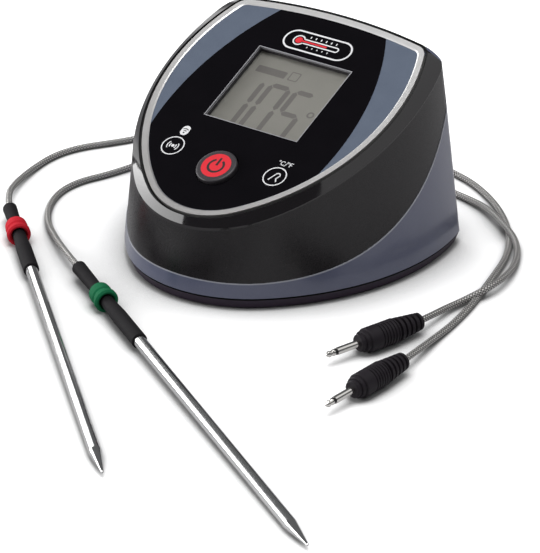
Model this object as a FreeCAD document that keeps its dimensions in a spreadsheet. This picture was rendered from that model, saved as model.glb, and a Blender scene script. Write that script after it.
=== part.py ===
"""Twin-probe meat thermometer: a tabletop display unit with two wired temperature probes.

Millimetres. +Z is up, the unit stands on Z = 0 and its pointed front looks towards -Y. The origin is the
middle of the unit's footprint. Each probe has its cable, its spare cable in a tied coil behind the unit,
and its plug, all lying on the surface that the unit stands on.
"""
import FreeCAD, Part
import math
import os
import Sketcher

from FreeCAD import Placement, Rotation, Vector

DIMENSIONS = {
    # footprint outline of the housing wall: six tangent arcs
    "base_half_width": 55.0,
    "base_half_depth": 49.46,
    "base_front_arc": 42.94,
    "base_side_arc": 78.04,
    "base_corner_arc": 5.5,
    "base_back_arc": 208.28,
    "draft_angle": 5.94,
    "back_draft_angle": 3.5,
    "loft_height": 80.0,
    # tilted face: outline where the bevelled shoulder meets the rim
    "face_tilt": 23.85,
    "face_height": 49.93,
    "face_half_width": 45.11,
    "face_front": 48.94,
    "face_back": 47.75,
    "face_front_arc": 28.73,
    "face_side_arc": 70.86,
    "face_corner_arc": 6.0,
    "face_back_arc": 202.28,
    # outline of the shoulder, lower on the wall
    "shoulder_half_width": 49.34,
    "shoulder_front": 52.41,
    "shoulder_back": 50.2,
    "shoulder_front_arc": 36.2,
    "shoulder_side_arc": 83.75,
    "shoulder_corner_arc": 5.69,
    "shoulder_back_arc": 192.54,
    "shoulder_drop": 3.0,
    "shoulder_overrun": 1.15,
    "skirt_flare": 60.0,
    # housing shells
    "wall_thick": 2.2,
    "top_thick": 3.6,
    "top_inner_inset": 1.4,
    "ledge_drop": 1.8,
    "crest_grow": 0.65,
    "groove_grow": 0.58,
    "groove_drop": 1.0,
    "ledge_inset": 4.5,
    "apron_step": 0.25,
    "apron_arc": 104.5,
    "apron_arc_y": -43.0,
    "apron_arc_z": 114.0,
    "apron_back": 40.0,
    # base tray and what stands under it
    "tray_bottom": 0.5,
    "tray_bottom_inset": 2.05,
    "tray_top": 3.7,
    "tray_top_inset": 0.75,
    "collar_inset": 1.4,
    "shell_bottom": 4.35,
    "spigot_top": 8.0,
    "spigot_inset": 3.25,
    "tray_inner_inset": 4.2,
    "tray_floor": 2.6,
    "pad_thick": 1.1,
    "pad_half_width": 26.0,
    "pad_front": -36.0,
    "pad_back": 5.5,
    "pad_corner": 6.0,
    "foot_radius": 5.0,
    "foot_x": 40.0,
    "foot_y": 34.0,
    # battery bay, its sliding door and two AA cells
    "bay_half_width": 28.5,
    "bay_front": 9.8,
    "bay_back": 40.0,
    "bay_top": 18.6,
    "bay_wall": 3.1,
    "bay_roof": 1.6,
    "door_front": 8.6,
    "door_half_width": 28.0,
    "door_tongue": 1.6,
    "door_step": 1.4,
    "door_top": 2.3,
    "door_gap": 0.3,
    "door_overrun": 60.0,
    "cell_radius": 7.1,
    "cell_length": 50.5,
    "cell_nub_radius": 2.6,
    "cell_nub": 1.5,
    "cell_height": 10.6,
    "cell_front_y": 17.2,
    "cell_rear_y": 32.6,
    "contact_thick": 0.4,
    "contact_height": 10.0,
    "contact_width": 8.0,
    "spring_radius": 4.0,
    "spring_bore": 3.1,
    # screws into the shell posts and the board posts
    "screw_head_radius": 2.4,
    "screw_head": 1.5,
    "screw_shank": 1.25,
    "screw_tip": 11.0,
    "post_radius": 3.2,
    "post_top": 11.8,
    "rib_thick": 1.6,
    "rib_bottom": 8.2,
    "rib_top": 10.8,
    "rib_length": 14.0,
    "side_post_x": 41.0,
    "side_post_y": 12.0,
    "front_post_x": 31.0,
    "front_post_y": -22.0,
    # rim ring, face plate and the lens on it
    "cut_over": 1.0,
    "rim_gap": 0.5,
    "rim_width": 2.35,
    "rim_proud": 0.2,
    "rim_bevel": 0.45,
    "rim_bevel_rise": 0.25,
    "plate_gap": 0.05,
    "plate_top": -0.05,
    "plate_bottom": -2.8,
    "plate_step_inset": 4.7,
    "lens_thick": 1.2,
    "lens_arc": 98.8,
    "lens_arc_x": 63.5,
    "lens_arc_y": -6.3,
    "lens_inset": 2.95,
    "window_half_width": 19.29,
    "window_front": -8.13,
    "window_back": 26.47,
    "pane_thick": 0.9,
    "pane_gap": 0.05,
    # display stack under the window
    "glass_half_width": 22.0,
    "glass_front": -11.0,
    "glass_back": 29.0,
    "glass_thick": 1.6,
    "light_thick": 2.0,
    "light_front": -8.6,
    "holder_wall": 2.0,
    "strip_half_width": 18.0,
    "strip_front": -10.8,
    "strip_width": 2.0,
    # main board and what is soldered to it
    "board_top": -8.0,
    "board_thick": 1.6,
    "board_inset": 8.2,
    "board_post_radius": 2.2,
    "board_post_x": 27.0,
    "board_post_front": -13.0,
    "board_post_back": 33.0,
    "board_screw_shank": 1.0,
    "board_screw_head": 2.0,
    "board_screw_grip": 4.0,
    "screw_end_gap": 0.5,
    "chip_side": 9.0,
    "chip_thick": 1.2,
    "chip_y": 3.0,
    "radio_width": 13.0,
    "radio_length": 18.0,
    "radio_thick": 2.0,
    "radio_x": -21.0,
    "radio_y": 8.0,
    "buzzer_radius": 6.0,
    "buzzer_thick": 3.5,
    "buzzer_x": 20.0,
    "buzzer_y": 14.0,
    # push button, its switch and the springs behind the two touch keys
    "button_y": -27.7,
    "button_radius": 7.05,
    "button_hole": 7.45,
    "button_proud": 1.4,
    "button_edge": 0.6,
    "button_flange": 8.4,
    "button_flange_thick": 1.0,
    "button_flange_gap": 0.3,
    "plunger_radius": 1.5,
    "plunger_length": 1.5,
    "switch_side": 6.0,
    "switch_thick": 1.1,
    "touch_x": 21.04,
    "touch_y": -24.05,
    "touch_spring_radius": 3.0,
    "touch_spring_bore": 2.3,
    # probe sockets in the back wall
    "socket_x": 14.0,
    "socket_z": 30.0,
    "socket_mouth": 47.7,
    "socket_barrel": 3.2,
    "socket_barrel_length": 7.0,
    "socket_bore": 1.28,
    "socket_bore_depth": 12.4,
    "socket_body_width": 8.0,
    "socket_body_length": 9.0,
    "socket_body_height": 7.6,
    "socket_board_half_width": 20.0,
    "socket_board_front": 30.5,
    "socket_board_back": 42.6,
    "socket_hole_front": 32.6,
    "socket_hole_length": 30.0,
    "socket_board_thick": 1.6,
    "pillar_radius": 2.5,
    "pillar_x": 16.0,
    "pillar_y": 36.0,
    # probes
    "shaft_radius": 2.08,
    "shaft_bore": 1.5,
    "shaft_inside_sleeve": 10.0,
    "shaft_length": 137.0,
    "cone_length": 13.0,
    "tip_radius": 0.45,
    "sensor_length": 10.0,
    "sleeve_tail_radius": 2.45,
    "sleeve_ring_radius": 2.15,
    "sleeve_nose_radius": 2.65,
    "sleeve_swell": 11.0,
    "sleeve_edge": 0.35,
    "sleeve_rise": 0.12,
    "sleeve_rise_length": 2.5,
    "red_sleeve_length": 47.6,
    "green_sleeve_length": 56.7,
    "red_ring_place": 17.2,
    "green_ring_place": 23.0,
    "ring_length": 8.0,
    "ring_bead_radius": 3.8,
    "ring_bead": 4.4,
    "ring_round": 0.6,
    "ring_waist_radius": 3.3,
    "ring_waist": 0.7,
    "ring_flange_radius": 4.05,
    "ring_mouth_radius": 2.9,
    "ring_mouth_depth": 1.6,
    # plugs: 2.5 mm mono
    "plug_length": 25.3,
    "plug_boss_radius": 2.9,
    "plug_boss": 1.5,
    "plug_collar_radius": 3.6,
    "plug_collar": 1.5,
    "plug_radius": 4.15,
    "plug_plain": 3.9,
    "plug_edge": 0.3,
    "groove_depth": 0.35,
    "groove_pitch": 1.2,
    "groove_slope": 0.12,
    "groove_floor": 0.26,
    "rib_pitch": 2.1,
    "rib_depth": 0.95,
    "rib_gap": 0.9,
    "rib_slope": 0.15,
    "rib_foot": 0.2,
    "rib_flare": 0.1,
    "plug_tail_radius": 2.9,
    "pin_radius": 1.25,
    "pin_inside": 8.0,
    "pin_stem_radius": 0.9,
    "pin_sleeve": 8.8,
    "pin_insulator": 1.0,
    "pin_insulator_radius": 1.05,
    "pin_tip": 3.2,
    "pin_neck_radius": 0.8,
    "pin_ball_radius": 1.1,
    "pin_point_radius": 0.45,
    "pin_crown": 0.5,
    "pin_neck_length": 0.25,
    "pin_ball_length": 0.3,
    "pin_tip_edge": 0.1,
    # cables
    "cable_radius": 1.1,
    "cable_length": 1000.0,
    "coil_inner": 8.9,
    "coil_outer": 15.3,
    "coil_bottom": 0.4,
    "coil_top": 9.4,
    "coil_edge": 0.8,
    "tie_thick": 0.4,
    "tie_width": 5.0,
    "tie_slack": 0.4,
    "tie_angle": -35.0,
}

# Routes of the cables, chosen by hand. The first point of a probe run is the tail of the probe's sleeve and
# its last one is in the coil; a plug run goes from the coil to the tail of the plug.
PROBES = {
    "red": {
        "tail": (-83.5, -33.72, 4.32),
        "tip": (54.6, -155.2, 1.95),
        "coil": (-70.0, 90.0),
        "probe_run": [
            (-83.5, -33.72, 4.32), (-91.8, -25.2, 4.2), (-98.2, -13.0, 2.2), (-102.2, 1.0, 1.1),
            (-103.2, 14.0, 1.1), (-100.0, 24.5, 1.1), (-93.5, 33.5, 1.1), (-87.5, 43.0, 1.1),
            (-84.5, 55.0, 1.1), (-83.6, 67.0, 1.1), (-83.2, 78.0, 1.3), (-83.3, 88.0, 1.7),
        ],
        "plug_run": [
            (-69.0, 103.2, 8.1), (-60.0, 102.9, 7.8), (-49.0, 101.5, 5.2), (-37.0, 101.9, 2.2),
            (-24.0, 101.0, 1.1), (-11.0, 96.0, 1.1), (1.5, 89.6, 1.1), (14.0, 85.0, 1.1),
            (27.5, 81.6, 1.1), (38.0, 76.3, 1.1), (48.5, 69.0, 1.1), (57.5, 60.6, 1.1),
            (65.7, 50.5, 1.1), (72.2, 38.5, 1.1), (76.1, 25.5, 1.1), (79.7, 12.5, 1.1),
            (83.0, -0.5, 1.1), (85.2, -13.5, 1.1), (86.5, -26.0, 1.8), (88.5, -36.5, 3.3),
            (89.81, -47.2, 4.2),
        ],
        "plug_tail": (89.81, -47.2, 4.2),
        "plug_base": (88.0, -73.8, 4.2),
    },
    "green": {
        "tail": (-35.59, -55.33, 4.385),
        "tip": (130.3, -154.1, 1.95),
        "coil": (-26.0, 80.0),
        "probe_run": [
            (-35.59, -55.33, 4.385), (-47.5, -48.2, 4.3), (-59.5, -39.0, 2.7), (-70.0, -30.0, 1.1),
            (-78.0, -20.0, 1.1), (-82.6, -8.5, 1.1), (-82.2, 2.5, 1.1), (-77.8, 12.0, 1.1),
            (-74.6, 23.0, 1.1), (-71.8, 35.0, 1.1), (-64.0, 46.0, 1.1), (-53.0, 54.5, 1.1),
            (-43.5, 64.0, 1.2), (-39.5, 74.0, 1.5), (-39.2, 82.0, 1.7),
        ],
        "plug_run": [
            (-19.0, 91.2, 8.1), (-10.5, 86.6, 7.7), (-0.5, 80.0, 4.6), (10.0, 74.6, 1.9),
            (20.5, 71.0, 1.1), (31.0, 70.4, 1.1), (41.0, 68.2, 1.1), (50.0, 62.2, 3.8),
            (57.5, 56.8, 6.3), (66.0, 51.0, 6.3), (72.2, 44.6, 3.5), (76.8, 36.6, 1.5),
            (80.8, 27.5, 3.2), (83.2, 17.5, 6.3), (80.6, 6.5, 6.3), (78.2, -1.5, 3.8),
            (78.2, -10.3, 3.2), (78.38, -21.5, 4.2),
        ],
        "plug_tail": (78.38, -21.5, 4.2),
        "plug_base": (71.8, -44.4, 4.2),
    },
}

TAIL_RIBS, GRIP_GROOVES = 5, 6

doc = FreeCAD.newDocument("MeatThermometer")
sheet = doc.addObject("Spreadsheet::Sheet", "Sizes")
pieces = []


# ---------------------------------------------------------------- sizes and bindings

class Size:
    """A value and the spreadsheet expression that gives it, so that a property can be bound to it."""

    def __init__(self, value, text=None):
        self.value = float(value)
        self.text = text if text is not None else format(self.value, ".6f")

    def __add__(self, other):
        other = as_size(other)
        return Size(self.value + other.value, "(" + self.text + " + " + other.text + ")")

    def __sub__(self, other):
        other = as_size(other)
        return Size(self.value - other.value, "(" + self.text + " - " + other.text + ")")

    def __mul__(self, other):
        other = as_size(other)
        return Size(self.value * other.value, "(" + self.text + " * " + other.text + ")")

    def __neg__(self):
        return Size(0) - self


def as_size(number):
    return number if isinstance(number, Size) else Size(number)


def size(alias):
    """The named size of the sheet, for binding."""
    return Size(DIMENSIONS[alias], "Sizes." + alias)


def number(alias):
    """The plain value of a named size, read back from the sheet."""
    return float(sheet.get(alias))


def fill_sheet():
    for row, (alias, value) in enumerate(DIMENSIONS.items(), start=1):
        sheet.set("A" + str(row), alias)
        sheet.set("B" + str(row), str(value))
        sheet.setAlias("B" + str(row), alias)
    doc.recompute()


def bind(item, **properties):
    """Bind the item's properties to sheet expressions."""
    for name, value in properties.items():
        item.setExpression(name, as_size(value).text)


def place(item, x=0, y=0, z=0):
    """Bind the item's position."""
    for axis, value in zip("xyz", (x, y, z)):
        item.setExpression("Placement.Base." + axis, as_size(value).text)


def place_on_face(item):
    """Carry an item drawn in the face's own frame (x right, y up the slope, z outwards) into place."""
    item.Placement = Placement(Vector(), Rotation(Vector(1, 0, 0), 1))
    item.setExpression("Placement.Rotation.Angle", "Sizes.face_tilt")
    place(item, 0, 0, size("face_height"))


def face_placement():
    return Placement(Vector(0, 0, number("face_height")), Rotation(Vector(1, 0, 0), number("face_tilt")))


def keep(item, name):
    """Make the item a finished piece under its own name."""
    item.Label = name
    pieces.append(item)
    return item


# ---------------------------------------------------------------- building blocks

def box(name, corner, extents):
    item = doc.addObject("Part::Box", name)
    bind(item, Length=extents[0], Width=extents[1], Height=extents[2])
    place(item, *corner)
    return item


def rod(name, radius, length, foot, turn=None):
    """Cylinder standing on its foot along Z, or turned by a fixed rotation."""
    item = doc.addObject("Part::Cylinder", name)
    if turn is not None:
        item.Placement = Placement(Vector(), turn)
    bind(item, Radius=radius, Height=length)
    place(item, *foot)
    return item


def fuse(name, shapes):
    item = doc.addObject("Part::MultiFuse", name)
    item.Shapes = shapes
    return item


def cut(name, base, tools):
    item = doc.addObject("Part::Cut", name)
    item.Base = base
    item.Tool = tools[0] if len(tools) == 1 else fuse(name + "_tools", tools)
    return item


def group(name, shapes):
    """Separate, identical solids that share one piece."""
    item = doc.addObject("Part::Compound", name)
    item.Links = shapes
    return item


def feature(name, shape, placement=None):
    """A piece whose shape is worked out below from the sheet's sizes."""
    item = doc.addObject("Part::Feature", name)
    item.Shape = shape
    if placement is not None:
        item.Placement = placement
    return keep(item, name)


def dimension(sketch, direction, corner, value):
    """Dimension one corner of a sketch from its origin along one direction."""
    value = as_size(value)
    if abs(value.value) < 1e-9:
        axis = -2 if direction == "DistanceX" else -1
        sketch.addConstraint(Sketcher.Constraint("PointOnObject", corner, 1, axis))
        return
    ends = (-1, 1, corner, 1) if value.value > 0 else (corner, 1, -1, 1)
    index = sketch.addConstraint(Sketcher.Constraint(direction, *ends, abs(value.value)))
    signed = value if value.value > 0 else -value
    sketch.setExpression("Constraints[" + str(index) + "]", signed.text)


def polygon_sketch(body, plane, corners):
    """Closed polygon on one of the body's origin planes, every corner dimensioned from the origin."""
    sketch = body.newObject("Sketcher::SketchObject", body.Name + "_sketch")
    support = [item for item in body.Origin.OriginFeatures if item.Role == plane][0]
    sketch.AttachmentSupport = [(support, "")]
    sketch.MapMode = "FlatFace"
    points = [Vector(as_size(x).value, as_size(y).value, 0) for x, y in corners]
    count = len(points)
    for index in range(count):
        sketch.addGeometry(Part.LineSegment(points[index], points[(index + 1) % count]), False)
    for index in range(count):
        sketch.addConstraint(Sketcher.Constraint("Coincident", index, 2, (index + 1) % count, 1))
    for index, (x, y) in enumerate(corners):
        dimension(sketch, "DistanceX", index, x)
        dimension(sketch, "DistanceY", index, y)
    return sketch


def turned(name, profile):
    """Piece turned about Z from a closed profile of (radius, height) corners."""
    body = doc.addObject("PartDesign::Body", name)
    sketch = polygon_sketch(body, "XZ_Plane", profile)
    revolution = body.newObject("PartDesign::Revolution", name + "_revolution")
    revolution.Profile = sketch
    revolution.ReferenceAxis = (sketch, ["V_Axis"])
    revolution.Angle = 360.0
    body.Tip = revolution
    return keep(body, name)


def padded(name, corners, length, plane="XY_Plane"):
    """Piece padded from a polygon."""
    body = doc.addObject("PartDesign::Body", name)
    sketch = polygon_sketch(body, plane, corners)
    pad = body.newObject("PartDesign::Pad", name + "_pad")
    pad.Profile = sketch
    bind(pad, Length=length)
    body.Tip = pad
    return keep(body, name)


def rectangle(x_low, y_low, x_high, y_high):
    return [(x_low, y_low), (x_high, y_low), (x_high, y_high), (x_low, y_high)]


def lie(item, foot, head):
    """Lay a turned piece with its own Z from foot towards head."""
    foot = Vector(*foot)
    item.Placement = Placement(foot, Rotation(Vector(0, 0, 1), Vector(*head) - foot))
    return item


# ---------------------------------------------------------------- the unit's outlines

def unit_vector(vector):
    return Vector(vector.x, vector.y, 0) / math.hypot(vector.x, vector.y)


class Outline:
    """Outline symmetric about x = 0: front, side, corner and back arcs, each tangent to the next."""

    NAMES = ("half_width", "front", "back", "front_arc", "side_arc", "corner_arc", "back_arc")

    def __init__(self, values):
        self.values = values
        half_width, front, back, self.front_arc, self.side_arc, self.corner_arc, self.back_arc = values
        self.front_centre = Vector(0, self.front_arc - front, 0)
        side_x = half_width - self.side_arc
        rise = math.sqrt((self.side_arc - self.front_arc) ** 2 - side_x ** 2)
        self.side_centre = Vector(side_x, self.front_centre.y + rise, 0)
        self.back_centre = Vector(0, back - self.back_arc, 0)
        self.corner_centre = self.find_corner()

    def find_corner(self):
        """Centre of the corner arc, inside both the side arc and the back arc."""
        side_reach = self.side_arc - self.corner_arc
        back_reach = self.back_arc - self.corner_arc
        between = self.back_centre - self.side_centre
        along = (side_reach ** 2 - back_reach ** 2 + between.Length ** 2) / (2 * between.Length)
        across = math.sqrt(side_reach ** 2 - along ** 2)
        direction = unit_vector(between)
        normal = Vector(-direction.y, direction.x, 0)
        choices = [self.side_centre + direction * along + normal * side for side in (across, -across)]
        return max(choices, key=lambda point: point.x + point.y)

    def towards(self, other, share):
        """The outline that lies part of the way, or beyond, towards another one."""
        return Outline([a + (b - a) * share for a, b in zip(self.values, other.values)])

    def narrowed(self, amount):
        """All sides moved in, with the corner arcs kept."""
        return Outline([value if name == "corner_arc" else value - amount
                        for name, value in zip(self.NAMES, self.values)])

    def with_back(self, back):
        """The same outline with its back edge elsewhere."""
        return Outline([back if name == "back" else value for name, value in zip(self.NAMES, self.values)])

    def wire(self, inset=0.0, height=0.0):
        to_front = unit_vector(self.front_centre - self.side_centre)
        to_corner = unit_vector(self.corner_centre - self.side_centre)
        to_back = unit_vector(self.corner_centre - self.back_centre)
        side, corner, back = self.side_arc - inset, self.corner_arc - inset, self.back_arc - inset
        front_join = self.side_centre + to_front * side
        side_middle = self.side_centre + unit_vector(to_front + to_corner) * side
        side_join = self.side_centre + to_corner * side
        corner_middle = self.corner_centre + unit_vector(to_corner + to_back) * corner
        back_join = self.back_centre + to_back * back
        front_middle = Vector(0, self.front_centre.y - self.front_arc + inset, 0)
        back_middle = Vector(0, self.back_centre.y + back, 0)
        right = [(front_join, side_middle, side_join), (side_join, corner_middle, back_join)]
        left = [tuple(Vector(-p.x, p.y, 0) for p in reversed(arc)) for arc in reversed(right)]
        front = [(left[-1][2], front_middle, front_join)]
        rear = [(back_join, back_middle, left[0][0])]
        edges = [Part.Arc(*arc).toShape() for arc in front + right + rear + left]
        wire = Part.Wire(edges)
        wire.translate(Vector(0, 0, height))
        return wire

    def prism(self, inset, low, high):
        return Part.Face(self.wire(inset, low)).extrude(Vector(0, 0, high - low))


def outline(prefix, front, back):
    """Outline from the sheet's sizes that start with the prefix."""
    read = [number(prefix + "_" + name) for name in ("front_arc", "side_arc", "corner_arc", "back_arc")]
    return Outline([number(prefix + "_half_width"), number(front), number(back)] + read)


def loft(wires):
    return Part.makeLoft(wires, True, True)


def wall_solid(inset):
    """Everything inside the drafted wall."""
    tall = number("loft_height")
    top = BASE.narrowed(tall * math.tan(math.radians(number("draft_angle"))))
    lean = tall * math.tan(math.radians(number("back_draft_angle")))
    top = top.with_back(number("base_half_depth") - lean)
    return loft([BASE.wire(inset, 0.0), top.wire(inset, tall)])


def cap_solid(inset, drop):
    """Everything below the face and its bevelled shoulder, in place."""
    overrun = number("shoulder_overrun")
    low = FACE.towards(SHOULDER, overrun)
    shoulder_low = -number("shoulder_drop") * overrun
    skirt_low = shoulder_low - number("skirt_flare")
    shoulder = loft([FACE.wire(inset - number("crest_grow"), 0.0), low.wire(inset, shoulder_low)])
    skirt = loft([low.wire(inset, shoulder_low), low.wire(inset - number("skirt_flare"), skirt_low)])
    cap = shoulder.fuse(skirt)
    cap.translate(Vector(0, 0, -drop))
    cap.Placement = face_placement().multiply(cap.Placement)
    return cap


# ---------------------------------------------------------------- housing shells

def shell_solid(step):
    """Hollow housing, with its wall set back by a step and open below and at the face."""
    outer = wall_solid(step).common(cap_solid(0.0, 0.0))
    cap_inner = cap_solid(number("top_inner_inset"), number("top_thick"))
    inner = wall_solid(number("wall_thick")).common(cap_inner)
    seat = FACE.prism(0.0, -number("ledge_drop"), number("ledge_drop"))
    groove = FACE.prism(-number("groove_grow"), -number("groove_drop"), number("ledge_drop"))
    opening = FACE.prism(number("ledge_inset"), -number("skirt_flare"), number("ledge_drop"))
    tall = number("loft_height")
    corner = Vector(-2 * tall, -2 * tall, number("shell_bottom") - tall)
    below = Part.makeBox(4 * tall, 4 * tall, tall, corner)
    openings = opening.common(FACE.prism(number("ledge_inset"), -2 * number("top_thick"), tall))
    top = seat.fuse([groove, openings])
    top.Placement = face_placement()
    return outer.cut(inner).cut(top).cut(below)


def apron_region():
    """Space of the black apron: inside a large arc seen from the side, and ahead of the back corners."""
    tall = number("loft_height")
    arc = Part.makeCylinder(number("apron_arc"), 4 * tall,
                            Vector(-2 * tall, number("apron_arc_y"), number("apron_arc_z")), Vector(1, 0, 0))
    ahead = Part.makeBox(4 * tall, 4 * tall, 4 * tall,
                         Vector(-2 * tall, number("apron_back") - 4 * tall, -tall))
    return arc.common(ahead)


def screw_places():
    """Where the four base screws and their posts stand."""
    places = []
    for prefix in ("side_post", "front_post"):
        for side in (-1, 1):
            places.append((side * number(prefix + "_x"), number(prefix + "_y")))
    return places


def shell_post(x, y):
    """Screw post with a rib out to the wall."""
    low, high = number("tray_floor"), number("post_top")
    post = Part.makeCylinder(number("post_radius"), high - low, Vector(x, y, low))
    rib = Part.makeBox(number("rib_length"), number("rib_thick"), number("rib_top") - number("rib_bottom"),
                       Vector(0, -number("rib_thick") / 2, 0))
    rib.Placement = Placement(Vector(x, y, number("rib_bottom")),
                              Rotation(Vector(0, 0, 1), math.degrees(math.atan2(y, x))))
    bore = Part.makeCylinder(number("screw_shank"), number("screw_tip") - low, Vector(x, y, low))
    return post.fuse(rib.common(wall_solid(number("wall_thick") / 2))).cut(bore)


def build_shells():
    region = apron_region()
    feature("front_apron", shell_solid(number("apron_step")).common(region))
    rear = shell_solid(0.0).cut(region)
    for x, y in screw_places():
        rear = rear.fuse(shell_post(x, y))
    for side in (-1, 1):
        mouth = Vector(side * number("socket_x"), number("socket_hole_front"), number("socket_z"))
        hole = Part.makeCylinder(number("socket_barrel"), number("socket_hole_length"), mouth, Vector(0, 1, 0))
        rear = rear.cut(hole)
    feature("rear_shell", rear.removeSplitter())


# ---------------------------------------------------------------- base tray, feet and screws

def door_slot(narrow, wide, front, low, step, high):
    """Stepped slot or door blank, long enough to run out through the back edge."""
    length = number("door_overrun")
    lower = Part.makeBox(2 * narrow, length, step - low, Vector(-narrow, front, low))
    upper = Part.makeBox(2 * wide, length, high - step, Vector(-wide, front, step))
    return lower.fuse(upper)


def pad_solid(grow, height):
    """Rounded front pad, or the recess that holds it."""
    width = 2 * (number("pad_half_width") + grow)
    depth = number("pad_back") - number("pad_front") + 2 * grow
    block = Part.makeBox(width, depth, height, Vector(-width / 2, number("pad_front") - grow, 0))
    upright = [edge for edge in block.Edges if abs(edge.tangentAt(edge.FirstParameter).z) > 0.9]
    return block.makeFillet(number("pad_corner"), upright)


def foot_places():
    return [(side * number("foot_x"), number("foot_y")) for side in (-1, 1)]


def tray_skirt():
    bottom = BASE.wire(number("tray_bottom_inset"), number("tray_bottom"))
    return loft([bottom, BASE.wire(number("tray_top_inset"), number("tray_top"))])


def build_base():
    skirt = tray_skirt()
    collar = BASE.prism(number("collar_inset"), number("tray_top"), number("shell_bottom"))
    spigot = BASE.prism(number("spigot_inset"), number("shell_bottom"), number("spigot_top"))
    tray = skirt.fuse(collar).fuse(spigot)
    tray = tray.cut(BASE.prism(number("tray_inner_inset"), number("tray_floor"), number("loft_height")))

    half, wall = number("bay_half_width"), number("bay_wall")
    front, back = number("bay_front"), number("bay_back")
    roof = number("bay_roof")
    bay = Part.makeBox(2 * (half + wall), back - front + wall + roof, number("bay_top") + roof
                       - number("tray_floor"), Vector(-half - wall, front - wall, number("tray_floor")))
    tray = tray.fuse(bay)
    tray = tray.cut(Part.makeBox(2 * half, back - front, number("bay_top"), Vector(-half, front, 0)))
    for side in (-1, 1):
        foot = Vector(side * number("pillar_x"), number("pillar_y"), number("bay_top") + roof / 2)
        height = board_low() - foot.z
        tray = tray.fuse(Part.makeCylinder(number("pillar_radius"), height, foot))

    gap = number("door_gap")
    narrow, tongue = number("door_half_width"), number("door_tongue")
    tray = tray.cut(door_slot(narrow + gap, narrow + tongue + gap, number("door_front") - gap, 0,
                              number("door_step") - gap, number("tray_floor")))
    blank = door_slot(narrow, narrow + tongue, number("door_front"), number("tray_bottom"),
                      number("door_step"), number("door_top"))
    tray = tray.cut(pad_solid(0.0, number("pad_thick")))
    for x, y in foot_places():
        tray = tray.cut(Part.makeCylinder(number("foot_radius"), number("pad_thick"), Vector(x, y, 0)))
    for x, y in screw_places():
        tray = tray.cut(Part.makeCylinder(number("screw_head_radius"), screw_head_top(), Vector(x, y, 0)))
        tray = tray.cut(Part.makeCylinder(number("screw_shank"), number("tray_floor"), Vector(x, y, 0)))
    feature("base_tray", tray.removeSplitter())
    feature("battery_door", blank.common(skirt))
    feature("grip_pad", pad_solid(0.0, number("pad_thick")))


def screw_head_top():
    return number("tray_bottom") + number("screw_head")


def build_feet_and_screws():
    feet = []
    for side, word in ((-1, "left"), (1, "right")):
        feet.append(rod("foot_" + word, size("foot_radius"), size("pad_thick"),
                        (size("foot_x") * side, size("foot_y"), 0)))
    keep(group("rear_feet", feet), "rear_feet")
    screws = []
    head_low = size("tray_bottom")
    head_top = head_low + size("screw_head")
    for prefix in ("side_post", "front_post"):
        for side, word in ((-1, "left"), (1, "right")):
            x, y = size(prefix + "_x") * side, size(prefix + "_y")
            name = prefix + "_screw_" + word
            head = rod(name + "_head", size("screw_head_radius"), size("screw_head"), (x, y, head_low))
            shank = rod(name + "_shank", size("screw_shank"), size("screw_tip") - head_top, (x, y, head_top))
            screws.append(fuse(name, [head, shank]))
    keep(group("base_screws", screws), "base_screws")


# ---------------------------------------------------------------- batteries

def build_cells():
    body_end = size("cell_length") - size("cell_nub")
    for word, turn in (("front", 90), ("rear", -90)):
        name, place_y = "battery_cell_" + word, "cell_" + word + "_y"
        cell = turned(name, [
            (0, 0), (size("cell_radius"), 0), (size("cell_radius"), body_end),
            (size("cell_nub_radius"), body_end), (size("cell_nub_radius"), size("cell_length")),
            (0, size("cell_length")),
        ])
        cell.Placement = Placement(Vector(), Rotation(Vector(0, 1, 0), turn))
        half = size("cell_length") * 0.5
        place(cell, -half if turn > 0 else half, size(place_y), size("cell_height"))


def build_contacts():
    """One bridging plate at the right-hand ends, two single plates at the left, and two springs."""
    thick, tall, wide = size("contact_thick"), size("contact_height"), size("contact_width")
    low = size("cell_height") - tall * 0.5
    right_x = size("bay_half_width") - thick
    left_x = -size("bay_half_width")
    span = size("cell_rear_y") - size("cell_front_y") + wide
    plates = [box("bridge_plate", (right_x, size("cell_front_y") - wide * 0.5, low), (thick, span, tall))]
    for word in ("front", "rear"):
        plates.append(box("plate_" + word, (left_x, size("cell_" + word + "_y") - wide * 0.5, low),
                          (thick, wide, tall)))
    keep(group("battery_contacts", plates), "battery_contacts")
    springs = []
    room = size("bay_half_width") - thick - size("cell_length") * 0.5
    along = Rotation(Vector(0, 1, 0), 90)
    ends = (("front", left_x + thick), ("rear", size("cell_length") * 0.5))
    for word, x in ends:
        foot = (x, size("cell_" + word + "_y"), size("cell_height"))
        outside = rod("spring_" + word + "_outside", size("spring_radius"), room, foot, along)
        inside = rod("spring_" + word + "_inside", size("spring_bore"), room, foot, along)
        springs.append(cut("spring_" + word, outside, [inside]))
    keep(group("battery_springs", springs), "battery_springs")


# ---------------------------------------------------------------- face: rim, plate, lens, window

def window_box(grow, low, high):
    half = number("window_half_width") + grow
    front, back = number("window_front") - grow, number("window_back") + grow
    return Part.makeBox(2 * half, back - front, high - low, Vector(-half, front, low))


def button_hole(low, high):
    return Part.makeCylinder(number("button_hole"), high - low, Vector(0, number("button_y"), low))


def board_post_places():
    return [(side * number("board_post_x"), number(row)) for row in ("board_post_front", "board_post_back")
            for side in (-1, 1)]


def build_rim():
    """Ring with a flat top and a bevel along its inner edge."""
    outer = number("rim_gap")
    inner = outer + number("rim_width")
    bevel, proud, low = number("rim_bevel"), number("rim_proud"), -number("ledge_drop")
    edge = proud - number("rim_bevel_rise")
    body = FACE.prism(outer, low, proud)
    hole = FACE.prism(inner, low, edge).fuse(loft([FACE.wire(inner, edge), FACE.wire(inner - bevel, proud)]))
    feature("rim_ring", body.cut(hole).removeSplitter(), face_placement())


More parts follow.
